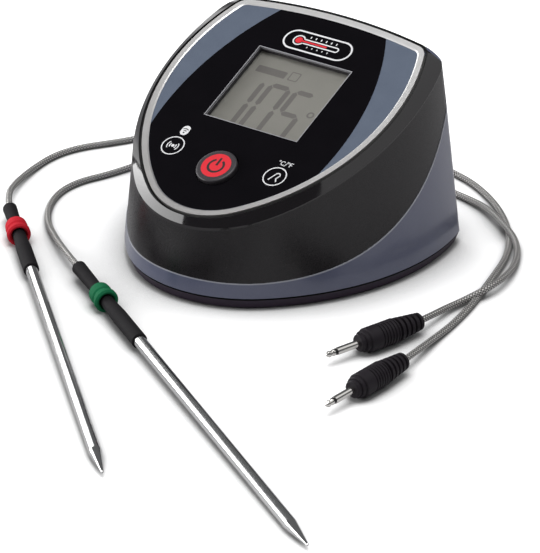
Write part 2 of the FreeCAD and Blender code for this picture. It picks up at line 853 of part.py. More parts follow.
def lens_solid(low, high):
    """Black middle of the face: the face outline between two large arcs."""
    lens = FACE.prism(number("lens_inset"), low, high)
    for side in (-1, 1):
        foot = Vector(side * number("lens_arc_x"), number("lens_arc_y"), low)
        lens = lens.common(Part.makeCylinder(number("lens_arc"), high - low, foot))
    return lens


def build_face():
    rim_inner = number("rim_gap") + number("rim_width")
    plate_top, plate_bottom = number("plate_top"), number("plate_bottom")
    plate = FACE.prism(rim_inner + number("plate_gap"), -number("ledge_drop"), plate_top)
    plate = plate.fuse(FACE.prism(number("plate_step_inset"), plate_bottom, -number("ledge_drop")))
    over = number("cut_over")
    plate = plate.cut(lens_solid(-number("lens_thick"), over))
    plate = plate.cut(window_box(0.0, plate_bottom, over)).cut(button_hole(plate_bottom, over))
    for x, y in board_post_places():
        foot = Vector(x, y, number("board_top"))
        post = Part.makeCylinder(number("board_post_radius"), plate_bottom - foot.z, foot)
        bore = Part.makeCylinder(number("board_screw_shank"), number("board_screw_grip"), foot)
        plate = plate.fuse(post).cut(bore)
    feature("face_plate", plate.removeSplitter(), face_placement())

    lens = lens_solid(-number("lens_thick"), 0.0)
    lens = lens.cut(window_box(0.0, -number("lens_thick"), 0.0)).cut(button_hole(-number("lens_thick"), 0.0))
    feature("face_lens", lens, face_placement())

    half = size("window_half_width") - size("pane_gap")
    front, back = size("window_front") + size("pane_gap"), size("window_back") - size("pane_gap")
    pane = box("display_window", (0, 0, 0), (half * 2, back - front, size("pane_thick")))
    carry_box(pane, -half, front, -size("pane_thick") - size("pane_gap"))
    keep(pane, "display_window")


def carry_box(item, x, y, w):
    """Place a box by its low corner given in the face's own frame."""
    item.Placement = Placement(Vector(), Rotation(Vector(1, 0, 0), 1))
    item.setExpression("Placement.Rotation.Angle", "Sizes.face_tilt")
    y, w = as_size(y), as_size(w)
    cosine, sine = "cos(Sizes.face_tilt)", "sin(Sizes.face_tilt)"
    item.setExpression("Placement.Base.x", as_size(x).text)
    item.setExpression("Placement.Base.y", y.text + " * " + cosine + " - " + w.text + " * " + sine)
    item.setExpression("Placement.Base.z",
                       "Sizes.face_height + " + y.text + " * " + sine + " + " + w.text + " * " + cosine)


# ---------------------------------------------------------------- display stack and boards

def build_display():
    half, front, back = size("glass_half_width"), size("glass_front"), size("glass_back")
    glass_top = size("plate_bottom")
    glass_low = glass_top - size("glass_thick")
    glass = padded("display_glass", rectangle(-half, front, half, back), size("glass_thick"))
    carry_box(glass, 0, 0, glass_low)
    light_low = glass_low - size("light_thick")
    sheet = rectangle(-half, size("light_front"), half, back)
    light = padded("display_backlight", sheet, size("light_thick"))
    carry_box(light, 0, 0, light_low)

    wall, board_top = size("holder_wall"), size("board_top")
    outer_half = half + wall
    outside = box("holder_outside", (-outer_half, front - wall, board_top),
                  (outer_half * 2, back - front + wall * 2, glass_top - board_top))
    inside = box("holder_inside", (-half, front, board_top), (half * 2, back - front, glass_top - board_top))
    shelf = box("holder_shelf", (-half, size("light_front"), board_top),
                (half * 2, back - size("light_front"), light_low - board_top))
    holder = fuse("display_holder", [cut("holder_frame", outside, [inside]), shelf])
    place_on_face(holder)
    keep(holder, "display_holder")

    strip_half = size("strip_half_width")
    strip_back = size("strip_front") + size("strip_width")
    block = rectangle(-strip_half, size("strip_front"), strip_half, strip_back)
    strip = padded("contact_strip", block, glass_low - board_top)
    carry_box(strip, 0, 0, board_top)


def build_main_board():
    low = number("board_top") - number("board_thick")
    board = FACE.narrowed(number("board_inset")).prism(0.0, low, number("board_top"))
    for x, y in board_post_places():
        hole = Part.makeCylinder(number("board_screw_shank"), number("board_thick"), Vector(x, y, low))
        board = board.cut(hole)
    feature("main_board", board, face_placement())

    low = size("board_top") - size("board_thick")
    chip_half = size("chip_side") * 0.5
    chip = padded("controller_chip", rectangle(-chip_half, size("chip_y") - chip_half, chip_half,
                                               size("chip_y") + chip_half), size("chip_thick"))
    carry_box(chip, 0, 0, low - size("chip_thick"))
    width, length = size("radio_width") * 0.5, size("radio_length") * 0.5
    radio = padded("radio_module", rectangle(size("radio_x") - width, size("radio_y") - length,
                                             size("radio_x") + width, size("radio_y") + length),
                   size("radio_thick"))
    carry_box(radio, 0, 0, low - size("radio_thick"))
    buzzer = rod("buzzer_can", size("buzzer_radius"), size("buzzer_thick"),
                 (size("buzzer_x"), size("buzzer_y"), low - size("buzzer_thick")))
    port = rod("buzzer_port", size("board_screw_shank"), size("buzzer_thick") * 0.5,
               (size("buzzer_x"), size("buzzer_y"), low - size("buzzer_thick")))
    buzzer = cut("buzzer", buzzer, [port])
    place_on_face(buzzer)
    keep(buzzer, "buzzer")

    screws = []
    for row, row_word in (("board_post_front", "front"), ("board_post_back", "back")):
        for side, word in ((-1, "left"), (1, "right")):
            x, y = size("board_post_x") * side, size(row)
            name = "board_screw_" + row_word + "_" + word
            head = rod(name + "_head", size("board_screw_head"), size("screw_head"),
                       (x, y, low - size("screw_head")))
            shank = rod(name + "_shank", size("board_screw_shank"),
                        size("board_thick") + size("board_screw_grip") - size("screw_end_gap"),
                        (x, y, low))
            screws.append(fuse(name, [head, shank]))
    screw_group = group("board_screws", screws)
    place_on_face(screw_group)
    keep(screw_group, "board_screws")


def build_button():
    """Cap with a rounded edge and a hidden flange, the switch under it and the switch's plunger."""
    flange_top = size("plate_bottom") - size("button_flange_gap")
    flange_low = flange_top - size("button_flange_thick")
    radius, edge, top = size("button_radius"), size("button_edge"), size("button_proud")
    rounding = [(radius, top - edge)]
    for step in (30, 60, 90):
        angle = math.radians(step)
        rounding.append((radius - edge * (1 - math.cos(angle)), top - edge * (1 - math.sin(angle))))
    cap = turned("main_button", [(0, flange_low), (size("button_flange"), flange_low),
                                 (size("button_flange"), flange_top), (radius, flange_top)]
                 + rounding + [(0, top)])
    carry_box(cap, 0, size("button_y"), 0)

    plunger = turned("key_plunger", rectangle(0, 0, size("plunger_radius"), size("plunger_length")))
    carry_box(plunger, 0, size("button_y"), flange_low - size("plunger_length"))
    half = size("switch_side") * 0.5
    switch = padded("key_switch", rectangle(-half, -half, half, half), size("switch_thick"))
    carry_box(switch, 0, size("button_y"), size("board_top"))

    springs = []
    tall = size("plate_bottom") - size("board_top")
    for side, word in ((-1, "left"), (1, "right")):
        foot = (size("touch_x") * side, size("touch_y"), size("board_top"))
        outside = rod("touch_spring_" + word + "_outside", size("touch_spring_radius"), tall, foot)
        inside = rod("touch_spring_" + word + "_inside", size("touch_spring_bore"), tall, foot)
        springs.append(cut("touch_spring_" + word, outside, [inside]))
    spring_group = group("touch_springs", springs)
    place_on_face(spring_group)
    keep(spring_group, "touch_springs")


# ---------------------------------------------------------------- probe sockets

def board_low():
    """Underside of the small board that carries the sockets."""
    return number("socket_z") - number("socket_body_height") / 2 - number("socket_board_thick")


def build_sockets():
    into = Rotation(Vector(1, 0, 0), 90)
    for side, word in ((-1, "left"), (1, "right")):
        name = "jack_socket_" + word
        x = size("socket_x") * side
        mouth = (x, size("socket_mouth"), size("socket_z"))
        barrel = rod(name + "_barrel", size("socket_barrel"), size("socket_barrel_length"), mouth, into)
        body_back = size("socket_mouth") - size("socket_barrel_length")
        wide, deep, high = size("socket_body_width"), size("socket_body_length"), size("socket_body_height")
        corner = (x - wide * 0.5, body_back - deep, size("socket_z") - high * 0.5)
        body = box(name + "_body", corner, (wide, deep, high))
        bore = rod(name + "_bore", size("socket_bore"), size("socket_bore_depth"), mouth, into)
        keep(cut(name, fuse(name + "_blank", [barrel, body]), [bore]), name)
    half = size("socket_board_half_width")
    plan = rectangle(-half, size("socket_board_front"), half, size("socket_board_back"))
    board = padded("jack_board", plan, size("socket_board_thick"))
    place(board, 0, 0, size("socket_z") - size("socket_body_height") * 0.5 - size("socket_board_thick"))


# ---------------------------------------------------------------- probes and plugs

def build_probe(colour, data):
    """Pointed steel tube, the sensor in it, the rubber sleeve on its tail and the silicone marker ring."""
    sleeve_length = size(colour + "_sleeve_length")
    ring_place = size(colour + "_ring_place")
    inside, bore = size("shaft_inside_sleeve"), size("shaft_bore")
    radius, tip = size("shaft_radius"), size("tip_radius")
    shaft_low = sleeve_length - inside
    shaft_top = sleeve_length + size("shaft_length")
    cone_low = shaft_top - size("cone_length")
    shaft = turned(colour + "_probe_shaft", [
        (bore, shaft_low), (radius, shaft_low), (radius, cone_low), (tip, shaft_top - tip),
        (tip * 0.7, shaft_top - tip * 0.3), (0, shaft_top), (0, cone_low), (bore, cone_low),
    ])
    sensor = turned(colour + "_probe_sensor", rectangle(0, cone_low - size("sensor_length"), bore, cone_low))

    tail, waist, nose, edge = (size("sleeve_tail_radius"), size("sleeve_ring_radius"),
                               size("sleeve_nose_radius"), size("sleeve_edge"))
    half_ring = size("ring_length") * 0.5
    swell_low = ring_place + half_ring
    sleeve = turned(colour + "_probe_sleeve", [
        (0, 0), (tail - edge, 0), (tail, edge), (waist, ring_place - half_ring), (waist, swell_low),
        (waist + size("sleeve_rise"), swell_low + size("sleeve_rise_length")),
        (nose, swell_low + size("sleeve_swell")),
        (nose, sleeve_length - edge), (nose - edge, sleeve_length), (radius, sleeve_length),
        (radius, shaft_low), (0, shaft_low),
    ])

    crest, valley, flange = size("ring_bead_radius"), size("ring_waist_radius"), size("ring_flange_radius")
    soft, mouth = size("ring_round"), size("ring_mouth_radius")
    bead_top = size("ring_bead") - half_ring
    flange_low = bead_top + size("ring_waist")
    ring = turned(colour + "_marker_ring", [
        (waist, -half_ring), (crest - soft, -half_ring), (crest - soft * 0.2, -half_ring + soft),
        (crest, bead_top - size("ring_bead") * 0.5), (crest - soft * 0.2, bead_top - soft),
        (valley, bead_top), (valley, flange_low),
        (flange - soft * 0.5, flange_low + soft * 0.5), (flange, flange_low + soft * 1.5),
        (flange, half_ring - soft), (flange - soft, half_ring), (mouth, half_ring),
        (waist, half_ring - size("ring_mouth_depth")),
    ])
    for piece in (shaft, sensor, sleeve):
        lie(piece, data["tail"], data["tip"])
    tail_point = Vector(*data["tail"])
    along = (Vector(*data["tip"]) - tail_point).normalize()
    lie(ring, tail_point + along * ring_place.value, data["tip"])


def plug_profile():
    """Radius and height corners of the moulded grip, from its tail to the boss at the pin."""
    radius, tail, edge = size("plug_radius"), size("plug_tail_radius"), size("plug_edge")
    length = size("plug_length")
    rib, gap, slope, foot = size("rib_pitch"), size("rib_gap"), size("rib_slope"), size("rib_foot")
    growth = (radius - tail) * (1 / (TAIL_RIBS + 0.5))
    corners = [(tail - edge, 0), (tail, edge)]
    for index in range(TAIL_RIBS):
        crest, high = tail + growth * index, rib * (index + 1)
        floor = crest - size("rib_depth") + foot
        if index:
            corners.append((crest, rib * index))
        corners.append((crest + size("rib_flare"), high - gap))
        corners += [(floor, high - gap + slope), (floor, high - foot)]
    corners += [(radius - edge, rib * TAIL_RIBS), (radius, rib * TAIL_RIBS + edge)]
    boss_low = length - size("plug_boss")
    collar_low = boss_low - size("plug_collar")
    grooves_top = collar_low - size("plug_plain")
    slope, floor = size("groove_slope"), radius - size("groove_depth")
    for index in range(GRIP_GROOVES, 0, -1):
        low = grooves_top - size("groove_pitch") * index
        high = low + slope * 2 + size("groove_floor")
        corners += [(radius, low), (floor, low + slope), (floor, high - slope), (radius, high)]
    collar, boss = size("plug_collar_radius"), size("plug_boss_radius")
    corners += [
        (radius, collar_low - edge), (radius - edge, collar_low), (collar, collar_low),
        (collar, boss_low - edge), (collar - edge, boss_low), (boss, boss_low), (boss, length - edge),
        (boss - edge, length),
    ]
    return corners


def build_plug(colour, data):
    """Moulded grip, pin barrel, insulating ring and ball-ended tip of a mono plug."""
    length, pin, stem = size("plug_length"), size("pin_radius"), size("pin_stem_radius")
    inside = length - size("pin_inside")
    socket = [(stem, length), (stem, inside), (0, inside)]
    grip = turned(colour + "_plug_body", [(0, 0)] + plug_profile() + socket)
    sleeve_top = length + size("pin_sleeve")
    barrel = turned(colour + "_plug_pin", [
        (0, inside), (stem, inside), (stem, length), (pin, length), (pin, sleeve_top), (0, sleeve_top),
    ])
    ring_top = sleeve_top + size("pin_insulator")
    washer = rectangle(0, sleeve_top, size("pin_insulator_radius"), ring_top)
    insulator = turned(colour + "_plug_insulator", washer)
    ball, neck, point = size("pin_ball_radius"), size("pin_neck_radius"), size("pin_point_radius")
    crown_top = ring_top + size("pin_crown")
    neck_low = crown_top + size("pin_crown")
    neck_top = neck_low + size("pin_neck_length")
    ball_low = neck_top + size("pin_crown")
    tip_top, edge = ring_top + size("pin_tip"), size("pin_tip_edge")
    tip = turned(colour + "_plug_tip", [
        (0, ring_top), (ball, ring_top), (ball, crown_top), (neck, neck_low), (neck, neck_top),
        (ball, ball_low), (ball, ball_low + size("pin_ball_length")), (point, tip_top - edge),
        (point * 0.6, tip_top), (0, tip_top),
    ])
    for piece in (grip, barrel, insulator, tip):
        lie(piece, data["plug_tail"], data["plug_base"])


# ---------------------------------------------------------------- cables

def cable_path(route):
    """Straight runs joined by tangent arcs, each arc as large as its two runs allow."""
    points = [Vector(*point) for point in route]
    edges, radii = [], []
    start = points[0]
    for before, corner, after in zip(points, points[1:], points[2:]):
        arriving = (corner - before).normalize()
        leaving = (after - corner).normalize()
        reach = 0.45 * min((corner - before).Length, (after - corner).Length)
        turn = arriving.getAngle(leaving)
        radii.append(reach / math.tan(turn / 2))
        arc_start, arc_end = corner - arriving * reach, corner + leaving * reach
        inward = (leaving - arriving).normalize()
        rise = radii[-1] / math.cos(turn / 2) - radii[-1]
        edges.append(Part.LineSegment(start, arc_start).toShape())
        edges.append(Part.Arc(arc_start, corner + inward * rise, arc_end).toShape())
        start = arc_end
    edges.append(Part.LineSegment(start, points[-1]).toShape())
    return Part.Wire(edges), radii


def build_cable(name, route):
    path, radii = cable_path(route)
    radius = number("cable_radius")
    first = Vector(*route[0])
    section = Part.Wire(Part.makeCircle(radius, first, Vector(*route[1]) - first))
    tube = path.makePipeShell([section], True, False)
    feature(name, tube)
    expected = math.pi * radius ** 2 * path.Length
    print(name, "length", round(path.Length, 1), "volume / expected", round(tube.Volume / expected, 4),
          "radii", [round(value, 1) for value in radii])
    return path.Length


def build_coil(colour, data):
    """Outer shape of the wound spare cable, and the strap that ties it."""
    inner, outer, edge = size("coil_inner"), size("coil_outer"), size("coil_edge")
    low, high = size("coil_bottom"), size("coil_top")
    x, y = data["coil"]
    coil = turned(colour + "_cable_coil", [
        (inner + edge, low), (outer - edge, low), (outer, low + edge), (outer, high - edge),
        (outer - edge, high), (inner + edge, high), (inner, high - edge), (inner, low + edge),
    ])
    coil.Placement = Placement(Vector(x, y, 0), Rotation())
    thick, width = size("tie_thick"), size("tie_width")
    near = inner - size("tie_slack")
    name = colour + "_coil_tie"
    strap = box(name + "_strap", (near - thick, -width * 0.5, low - thick),
                (outer - near + thick * 2, width, high - low + thick * 2))
    gap = box(name + "_gap", (near, -width, low), (outer - near, width * 2, high - low))
    tie = keep(cut(name, strap, [gap]), name)
    tie.Placement = Placement(Vector(x, y, 0), Rotation(Vector(0, 0, 1), number("tie_angle")))


def build_probe_set(colour, data):
    build_probe(colour, data)
    build_plug(colour, data)
    lying = build_cable(colour + "_cable_probe_run", data["probe_run"])
    lying += build_cable(colour + "_cable_plug_run", data["plug_run"])
    print(colour, "cable in the coil", round(number("cable_length") - lying, 1))
    build_coil(colour, data)


# ---------------------------------------------------------------- making, checking and writing

def check(item):
    faults = [state for state in item.State if state in ("Invalid", "Error")]
    if faults:
        raise RuntimeError(item.Label + " is " + ", ".join(faults))


def check_piece(piece):
    shape = piece.Shape
    if shape.isNull() or not shape.isValid() or not shape.Solids:
        raise RuntimeError(piece.Label + " has no valid solid")


fill_sheet()
BASE = outline("base", "base_half_depth", "base_half_depth")
FACE = outline("face", "face_front", "face_back")
SHOULDER = outline("shoulder", "shoulder_front", "shoulder_back")

build_shells()
build_base()
build_feet_and_screws()
build_cells()
build_contacts()
build_rim()
build_face()
build_display()
build_main_board()
build_button()
build_sockets()
for probe_colour, probe_data in PROBES.items():
    build_probe_set(probe_colour, probe_data)

doc.recompute()
for document_item in doc.Objects:
    check(document_item)
os.makedirs("parts", exist_ok=True)
for piece in pieces:
    check_piece(piece)
    piece.Shape.exportStep("parts/" + piece.Label + ".step")
print(len(pieces), "pieces written")
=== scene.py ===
"""Looks of the twin-probe meat thermometer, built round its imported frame: metres, +Z up, front to -Y."""

import math

import bpy
from mathutils import Matrix, Vector


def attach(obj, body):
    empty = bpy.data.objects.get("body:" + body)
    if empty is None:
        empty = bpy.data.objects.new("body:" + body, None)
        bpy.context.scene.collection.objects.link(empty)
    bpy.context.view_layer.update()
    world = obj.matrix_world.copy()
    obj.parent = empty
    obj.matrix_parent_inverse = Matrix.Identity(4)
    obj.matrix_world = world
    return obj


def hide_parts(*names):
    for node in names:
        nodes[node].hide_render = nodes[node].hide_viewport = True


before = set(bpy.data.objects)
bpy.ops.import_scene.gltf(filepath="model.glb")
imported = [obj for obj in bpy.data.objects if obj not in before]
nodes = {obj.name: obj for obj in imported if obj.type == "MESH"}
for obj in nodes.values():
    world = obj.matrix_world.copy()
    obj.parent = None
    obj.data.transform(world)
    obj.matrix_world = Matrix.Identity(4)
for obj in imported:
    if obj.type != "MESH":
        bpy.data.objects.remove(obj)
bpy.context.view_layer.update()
MM = 0.001


# ---------------------------------------------------------------- camera

CAMERA_PLACE = (0.72065, -0.95646, 0.58693)
CAMERA_AZIMUTH, CAMERA_ELEVATION, CAMERA_ROLL = 36.9145, 26.5431, -0.6521
FOCAL_LENGTH, SENSOR_WIDTH = 257.38, 36.0


def turned(degrees, axis):
    return Matrix.Rotation(math.radians(degrees), 4, axis)


def make_camera():
    """Long lens from the front right, about 37 degrees round and 27 degrees up."""
    data = bpy.data.cameras.new("Camera")
    data.lens, data.sensor_width = FOCAL_LENGTH, SENSOR_WIDTH
    data.clip_start, data.clip_end = 0.05, 30.0
    camera = bpy.data.objects.new("Camera", data)
    camera.matrix_world = (Matrix.Translation(CAMERA_PLACE) @ turned(CAMERA_AZIMUTH, "Z")
                           @ turned(90 - CAMERA_ELEVATION, "X") @ turned(CAMERA_ROLL, "Z"))
    bpy.context.scene.collection.objects.link(camera)
    bpy.context.scene.camera = camera


make_camera()


# ---------------------------------------------------------------- mesh helpers

def add_mesh(name, points, faces, smooth=True):
    """New object with this mesh, in metres."""
    mesh = bpy.data.meshes.new(name)
    mesh.from_pydata([tuple(point) for point in points], [], faces)
    mesh.update()
    for polygon in mesh.polygons:
        polygon.use_smooth = smooth
    item = bpy.data.objects.new(name, mesh)
    bpy.context.scene.collection.objects.link(item)
    return item


def route_line(name, points, resolution):
    """Points along the smooth NURBS line that has these control points."""
    curve = bpy.data.curves.new(name, "CURVE")
    curve.dimensions = "3D"
    curve.resolution_u = resolution
    spline = curve.splines.new("NURBS")
    spline.points.add(len(points) - 1)
    for target, point in zip(spline.points, points):
        target.co = (*point, 1.0)
    spline.order_u = 3
    spline.use_endpoint_u = True
    item = bpy.data.objects.new(name, curve)
    bpy.context.scene.collection.objects.link(item)
    bpy.context.view_layer.update()
    graph = bpy.context.evaluated_depsgraph_get()
    mesh = bpy.data.meshes.new_from_object(item.evaluated_get(graph))
    line = [vertex.co.copy() for vertex in mesh.vertices]
    bpy.data.objects.remove(item)
    return line


def sweep(name, line, radius, sides):
    """Round tube along a line, with U along it in millimetres and V once round it."""
    tangents = []
    for index in range(len(line)):
        ahead = line[min(index + 1, len(line) - 1)] - line[max(index - 1, 0)]
        tangents.append(ahead.normalized())
    normal = tangents[0].cross(Vector((0, 0, 1))).normalized()
    points, faces, lengths, run = [], [], [], 0.0
    for index, (centre, tangent) in enumerate(zip(line, tangents)):
        if index:
            run += (centre - line[index - 1]).length
        lengths.append(run / MM)
        normal = (normal - tangent * normal.dot(tangent)).normalized()
        side = tangent.cross(normal)
        for step in range(sides):
            angle = 2 * math.pi * step / sides
            points.append(centre + (normal * math.cos(angle) + side * math.sin(angle)) * radius)
    for index in range(len(line) - 1):
        for step in range(sides):
            follow = (step + 1) % sides
            low, high = index * sides, (index + 1) * sides
            faces.append((low + step, low + follow, high + follow, high + step))
    tube = add_mesh(name, points, faces)
    layer = tube.data.uv_layers.new(name="UVMap")
    for face, polygon in enumerate(tube.data.polygons):
        ring, step = divmod(face, sides)
        corners = ((ring, step), (ring, step + 1), (ring + 1, step + 1), (ring + 1, step))
        for loop, (place, turn) in zip(polygon.loop_indices, corners):
            layer.data[loop].uv = (lengths[place], turn / sides)
    return tube


# ---------------------------------------------------------------- cables

CABLE_DIAMETER = 0.0022
COIL_STEPS = 24
COLUMNS = (0.0144, 0.0122, 0.0100)
COLUMN_TURNS = 3
CROSSING = 0.5      # share of a turn in which the cable goes over into the next column
LAST_CLIMB = 1.6    # power of the last column's climb, which starts slowly
BOTTOM, TOP = 0.0015, 0.0081
LINE_STEPS, TUBE_SIDES = 6, 14


def coil_points(x, y, turns):
    """Spare cable wound clockwise seen from above: up the outer column, down the next, up the inner one."""
    points = []
    for index in range(round(turns * COIL_STEPS) + 1):
        turn = index / COIL_STEPS
        column = min(int(turn / COLUMN_TURNS), 2)
        within = turn - column * COLUMN_TURNS
        radius = COLUMNS[column]
        if column:
            share = min(within / CROSSING, 1.0)
            radius = COLUMNS[column - 1] * (1 - share) + radius * share
            climb = max(within - CROSSING, 0.0) / (COLUMN_TURNS - CROSSING)
        else:
            climb = within / COLUMN_TURNS
        if column == 1:
            climb = 1 - climb
        if column == 2:
            last_turns = turns - 2 * COLUMN_TURNS - CROSSING
            climb = min(climb * (COLUMN_TURNS - CROSSING) / last_turns, 1.0) ** LAST_CLIMB
        radius /= math.cos(math.pi / COIL_STEPS)
        angle = math.pi - 2 * math.pi * turn
        points.append((x + radius * math.cos(angle), y + radius * math.sin(angle),
                       BOTTOM + (TOP - BOTTOM) * climb))
    return points


# the laid part of each cable before and after its coil, and the coil's middle and turns
CABLES = {
    "red": {
        "probe_run": [
            (-0.0835, -0.03372, 0.00432), (-0.0918, -0.0252, 0.0042), (-0.0982, -0.0130, 0.0022),
            (-0.1022, 0.0010, 0.0011), (-0.1032, 0.0140, 0.0011), (-0.1000, 0.0245, 0.0011),
            (-0.0935, 0.0335, 0.0011), (-0.0875, 0.0430, 0.0011), (-0.0849, 0.0550, 0.0011),
            (-0.0842, 0.0670, 0.0011), (-0.0844, 0.0780, 0.0013),
        ],
        "coil": (-0.070, 0.0897, 8.25),
        "plug_run": [
            (-0.0660, 0.1001, 0.0095), (-0.0610, 0.1004, 0.0104), (-0.0555, 0.1009, 0.0098),
            (-0.0490, 0.1015, 0.0064), (-0.0370, 0.1019, 0.0022), (-0.0240, 0.1010, 0.0011),
            (-0.0110, 0.0960, 0.0011), (0.0015, 0.0896, 0.0011), (0.0140, 0.0850, 0.0011),
            (0.0275, 0.0816, 0.0011), (0.0380, 0.0763, 0.0011), (0.0485, 0.0690, 0.0011),
            (0.0575, 0.0606, 0.0011), (0.0657, 0.0505, 0.0011), (0.0722, 0.0385, 0.0011),
            (0.0761, 0.0255, 0.0011), (0.0797, 0.0125, 0.0011), (0.0830, -0.0005, 0.0011),
            (0.0852, -0.0135, 0.0011), (0.0865, -0.0260, 0.0018), (0.0885, -0.0365, 0.0033),
            (0.08981, -0.0472, 0.0042),
        ],
    },
    "green": {
        "probe_run": [
            (-0.03559, -0.05533, 0.004385), (-0.0475, -0.0482, 0.0043), (-0.0595, -0.0390, 0.0027),
            (-0.0700, -0.0300, 0.0011), (-0.0780, -0.0200, 0.0011), (-0.0826, -0.0085, 0.0011),
            (-0.0822, 0.0025, 0.0011), (-0.0778, 0.0120, 0.0011), (-0.0746, 0.0230, 0.0011),
            (-0.0718, 0.0350, 0.0011), (-0.0640, 0.0460, 0.0011), (-0.0530, 0.0545, 0.0011),
            (-0.0440, 0.0635, 0.0012), (-0.0405, 0.0725, 0.0014),
        ],
        "coil": (-0.026, 0.080, 8.0 + 1 / 3),
        "plug_run": [
            (-0.0170, 0.0864, 0.0095), (-0.0125, 0.0838, 0.0104), (-0.0080, 0.0812, 0.0097),
            (-0.0005, 0.0775, 0.0060), (0.0100, 0.0742, 0.0022), (0.0205, 0.0710, 0.0011),
            (0.0310, 0.0700, 0.0011), (0.0445, 0.0658, 0.0020), (0.0527, 0.0602, 0.0032),
            (0.0622, 0.0536, 0.0035), (0.0685, 0.0493, 0.0026), (0.0731, 0.0441, 0.0013),
            (0.0785, 0.0339, 0.0016), (0.0824, 0.0213, 0.0034), (0.0825, 0.0124, 0.0035),
            (0.0801, 0.0070, 0.0022), (0.0786, 0.0015, 0.0016), (0.0778, -0.0051, 0.0020),
            (0.0785, -0.0121, 0.0032), (0.07838, -0.0215, 0.0042),
        ],
    },
}


TIE_AZIMUTH = -35


def make_tie(colour, x, y):
    """Strap round one side of the coil: rounded rectangle seen along the cable."""
    near, far, low, high, corner = 0.0084, 0.0160, 0.00035, 0.0096, 0.0012
    thick, half, corner_steps = 0.00045, 0.0025, 4
    inner_edge, outer_edge, outer_bevel = 0.0002, 0.0001, 0.0003
    centre_line = []
    for mid_x, mid_z, start in ((far - corner, high - corner, 0), (near + corner, high - corner, 90),
                                (near + corner, low + corner, 180), (far - corner, low + corner, 270)):
        for step in range(corner_steps + 1):
            angle = math.radians(start + step * 90 / corner_steps)
            centre_line.append((mid_x + corner * math.cos(angle), mid_z + corner * math.sin(angle),
                                math.cos(angle), math.sin(angle)))
    turn = Matrix.Translation((x, y, 0)) @ turned(TIE_AZIMUTH, "Z")
    points, faces = [], []
    around = ((0, -half + inner_edge), (0, half - inner_edge), (inner_edge, half), (thick - outer_edge, half),
              (thick, half - outer_bevel), (thick, -half + outer_bevel), (thick - outer_edge, -half),
              (inner_edge, -half))
    for across, height, out_x, out_z in centre_line:
        for depth, side in around:
            out = depth - thick
            points.append(turn @ Vector((across + out_x * out, side, height + out_z * out)))
    count = len(around)
    for index in range(len(centre_line)):
        follow = (index + 1) % len(centre_line)
        for step in range(count):
            beside = (step + 1) % count
            faces.append((index * count + step, index * count + beside, follow * count + beside,
                          follow * count + step))
    tie = add_mesh(colour + "_tie_strap", points, faces)
    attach(tie, colour + "_probe_set")
    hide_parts(colour + "_coil_tie")
    return tie


ties, tubes = {}, {}
for colour, data in CABLES.items():
    route = data["probe_run"] + coil_points(*data["coil"]) + data["plug_run"]
    line = route_line(colour + "_route", route, LINE_STEPS)
    tube = sweep(colour + "_braided_cable", line, CABLE_DIAMETER / 2, TUBE_SIDES)
    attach(tube, colour + "_probe_set")
    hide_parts(colour + "_cable_probe_run", colour + "_cable_plug_run", colour + "_cable_coil")
    tie = make_tie(colour, *data["coil"][:2])
    ties[colour], tubes[colour] = tie, tube


# ---------------------------------------------------------------- materials

def linear(red, green, blue):
    """Scene-linear colour from display values of 0 to 255."""
    def one(value):
        value /= 255
        return value / 12.92 if value <= 0.04045 else ((value + 0.055) / 1.055) ** 2.4
    return (one(red), one(green), one(blue), 1.0)


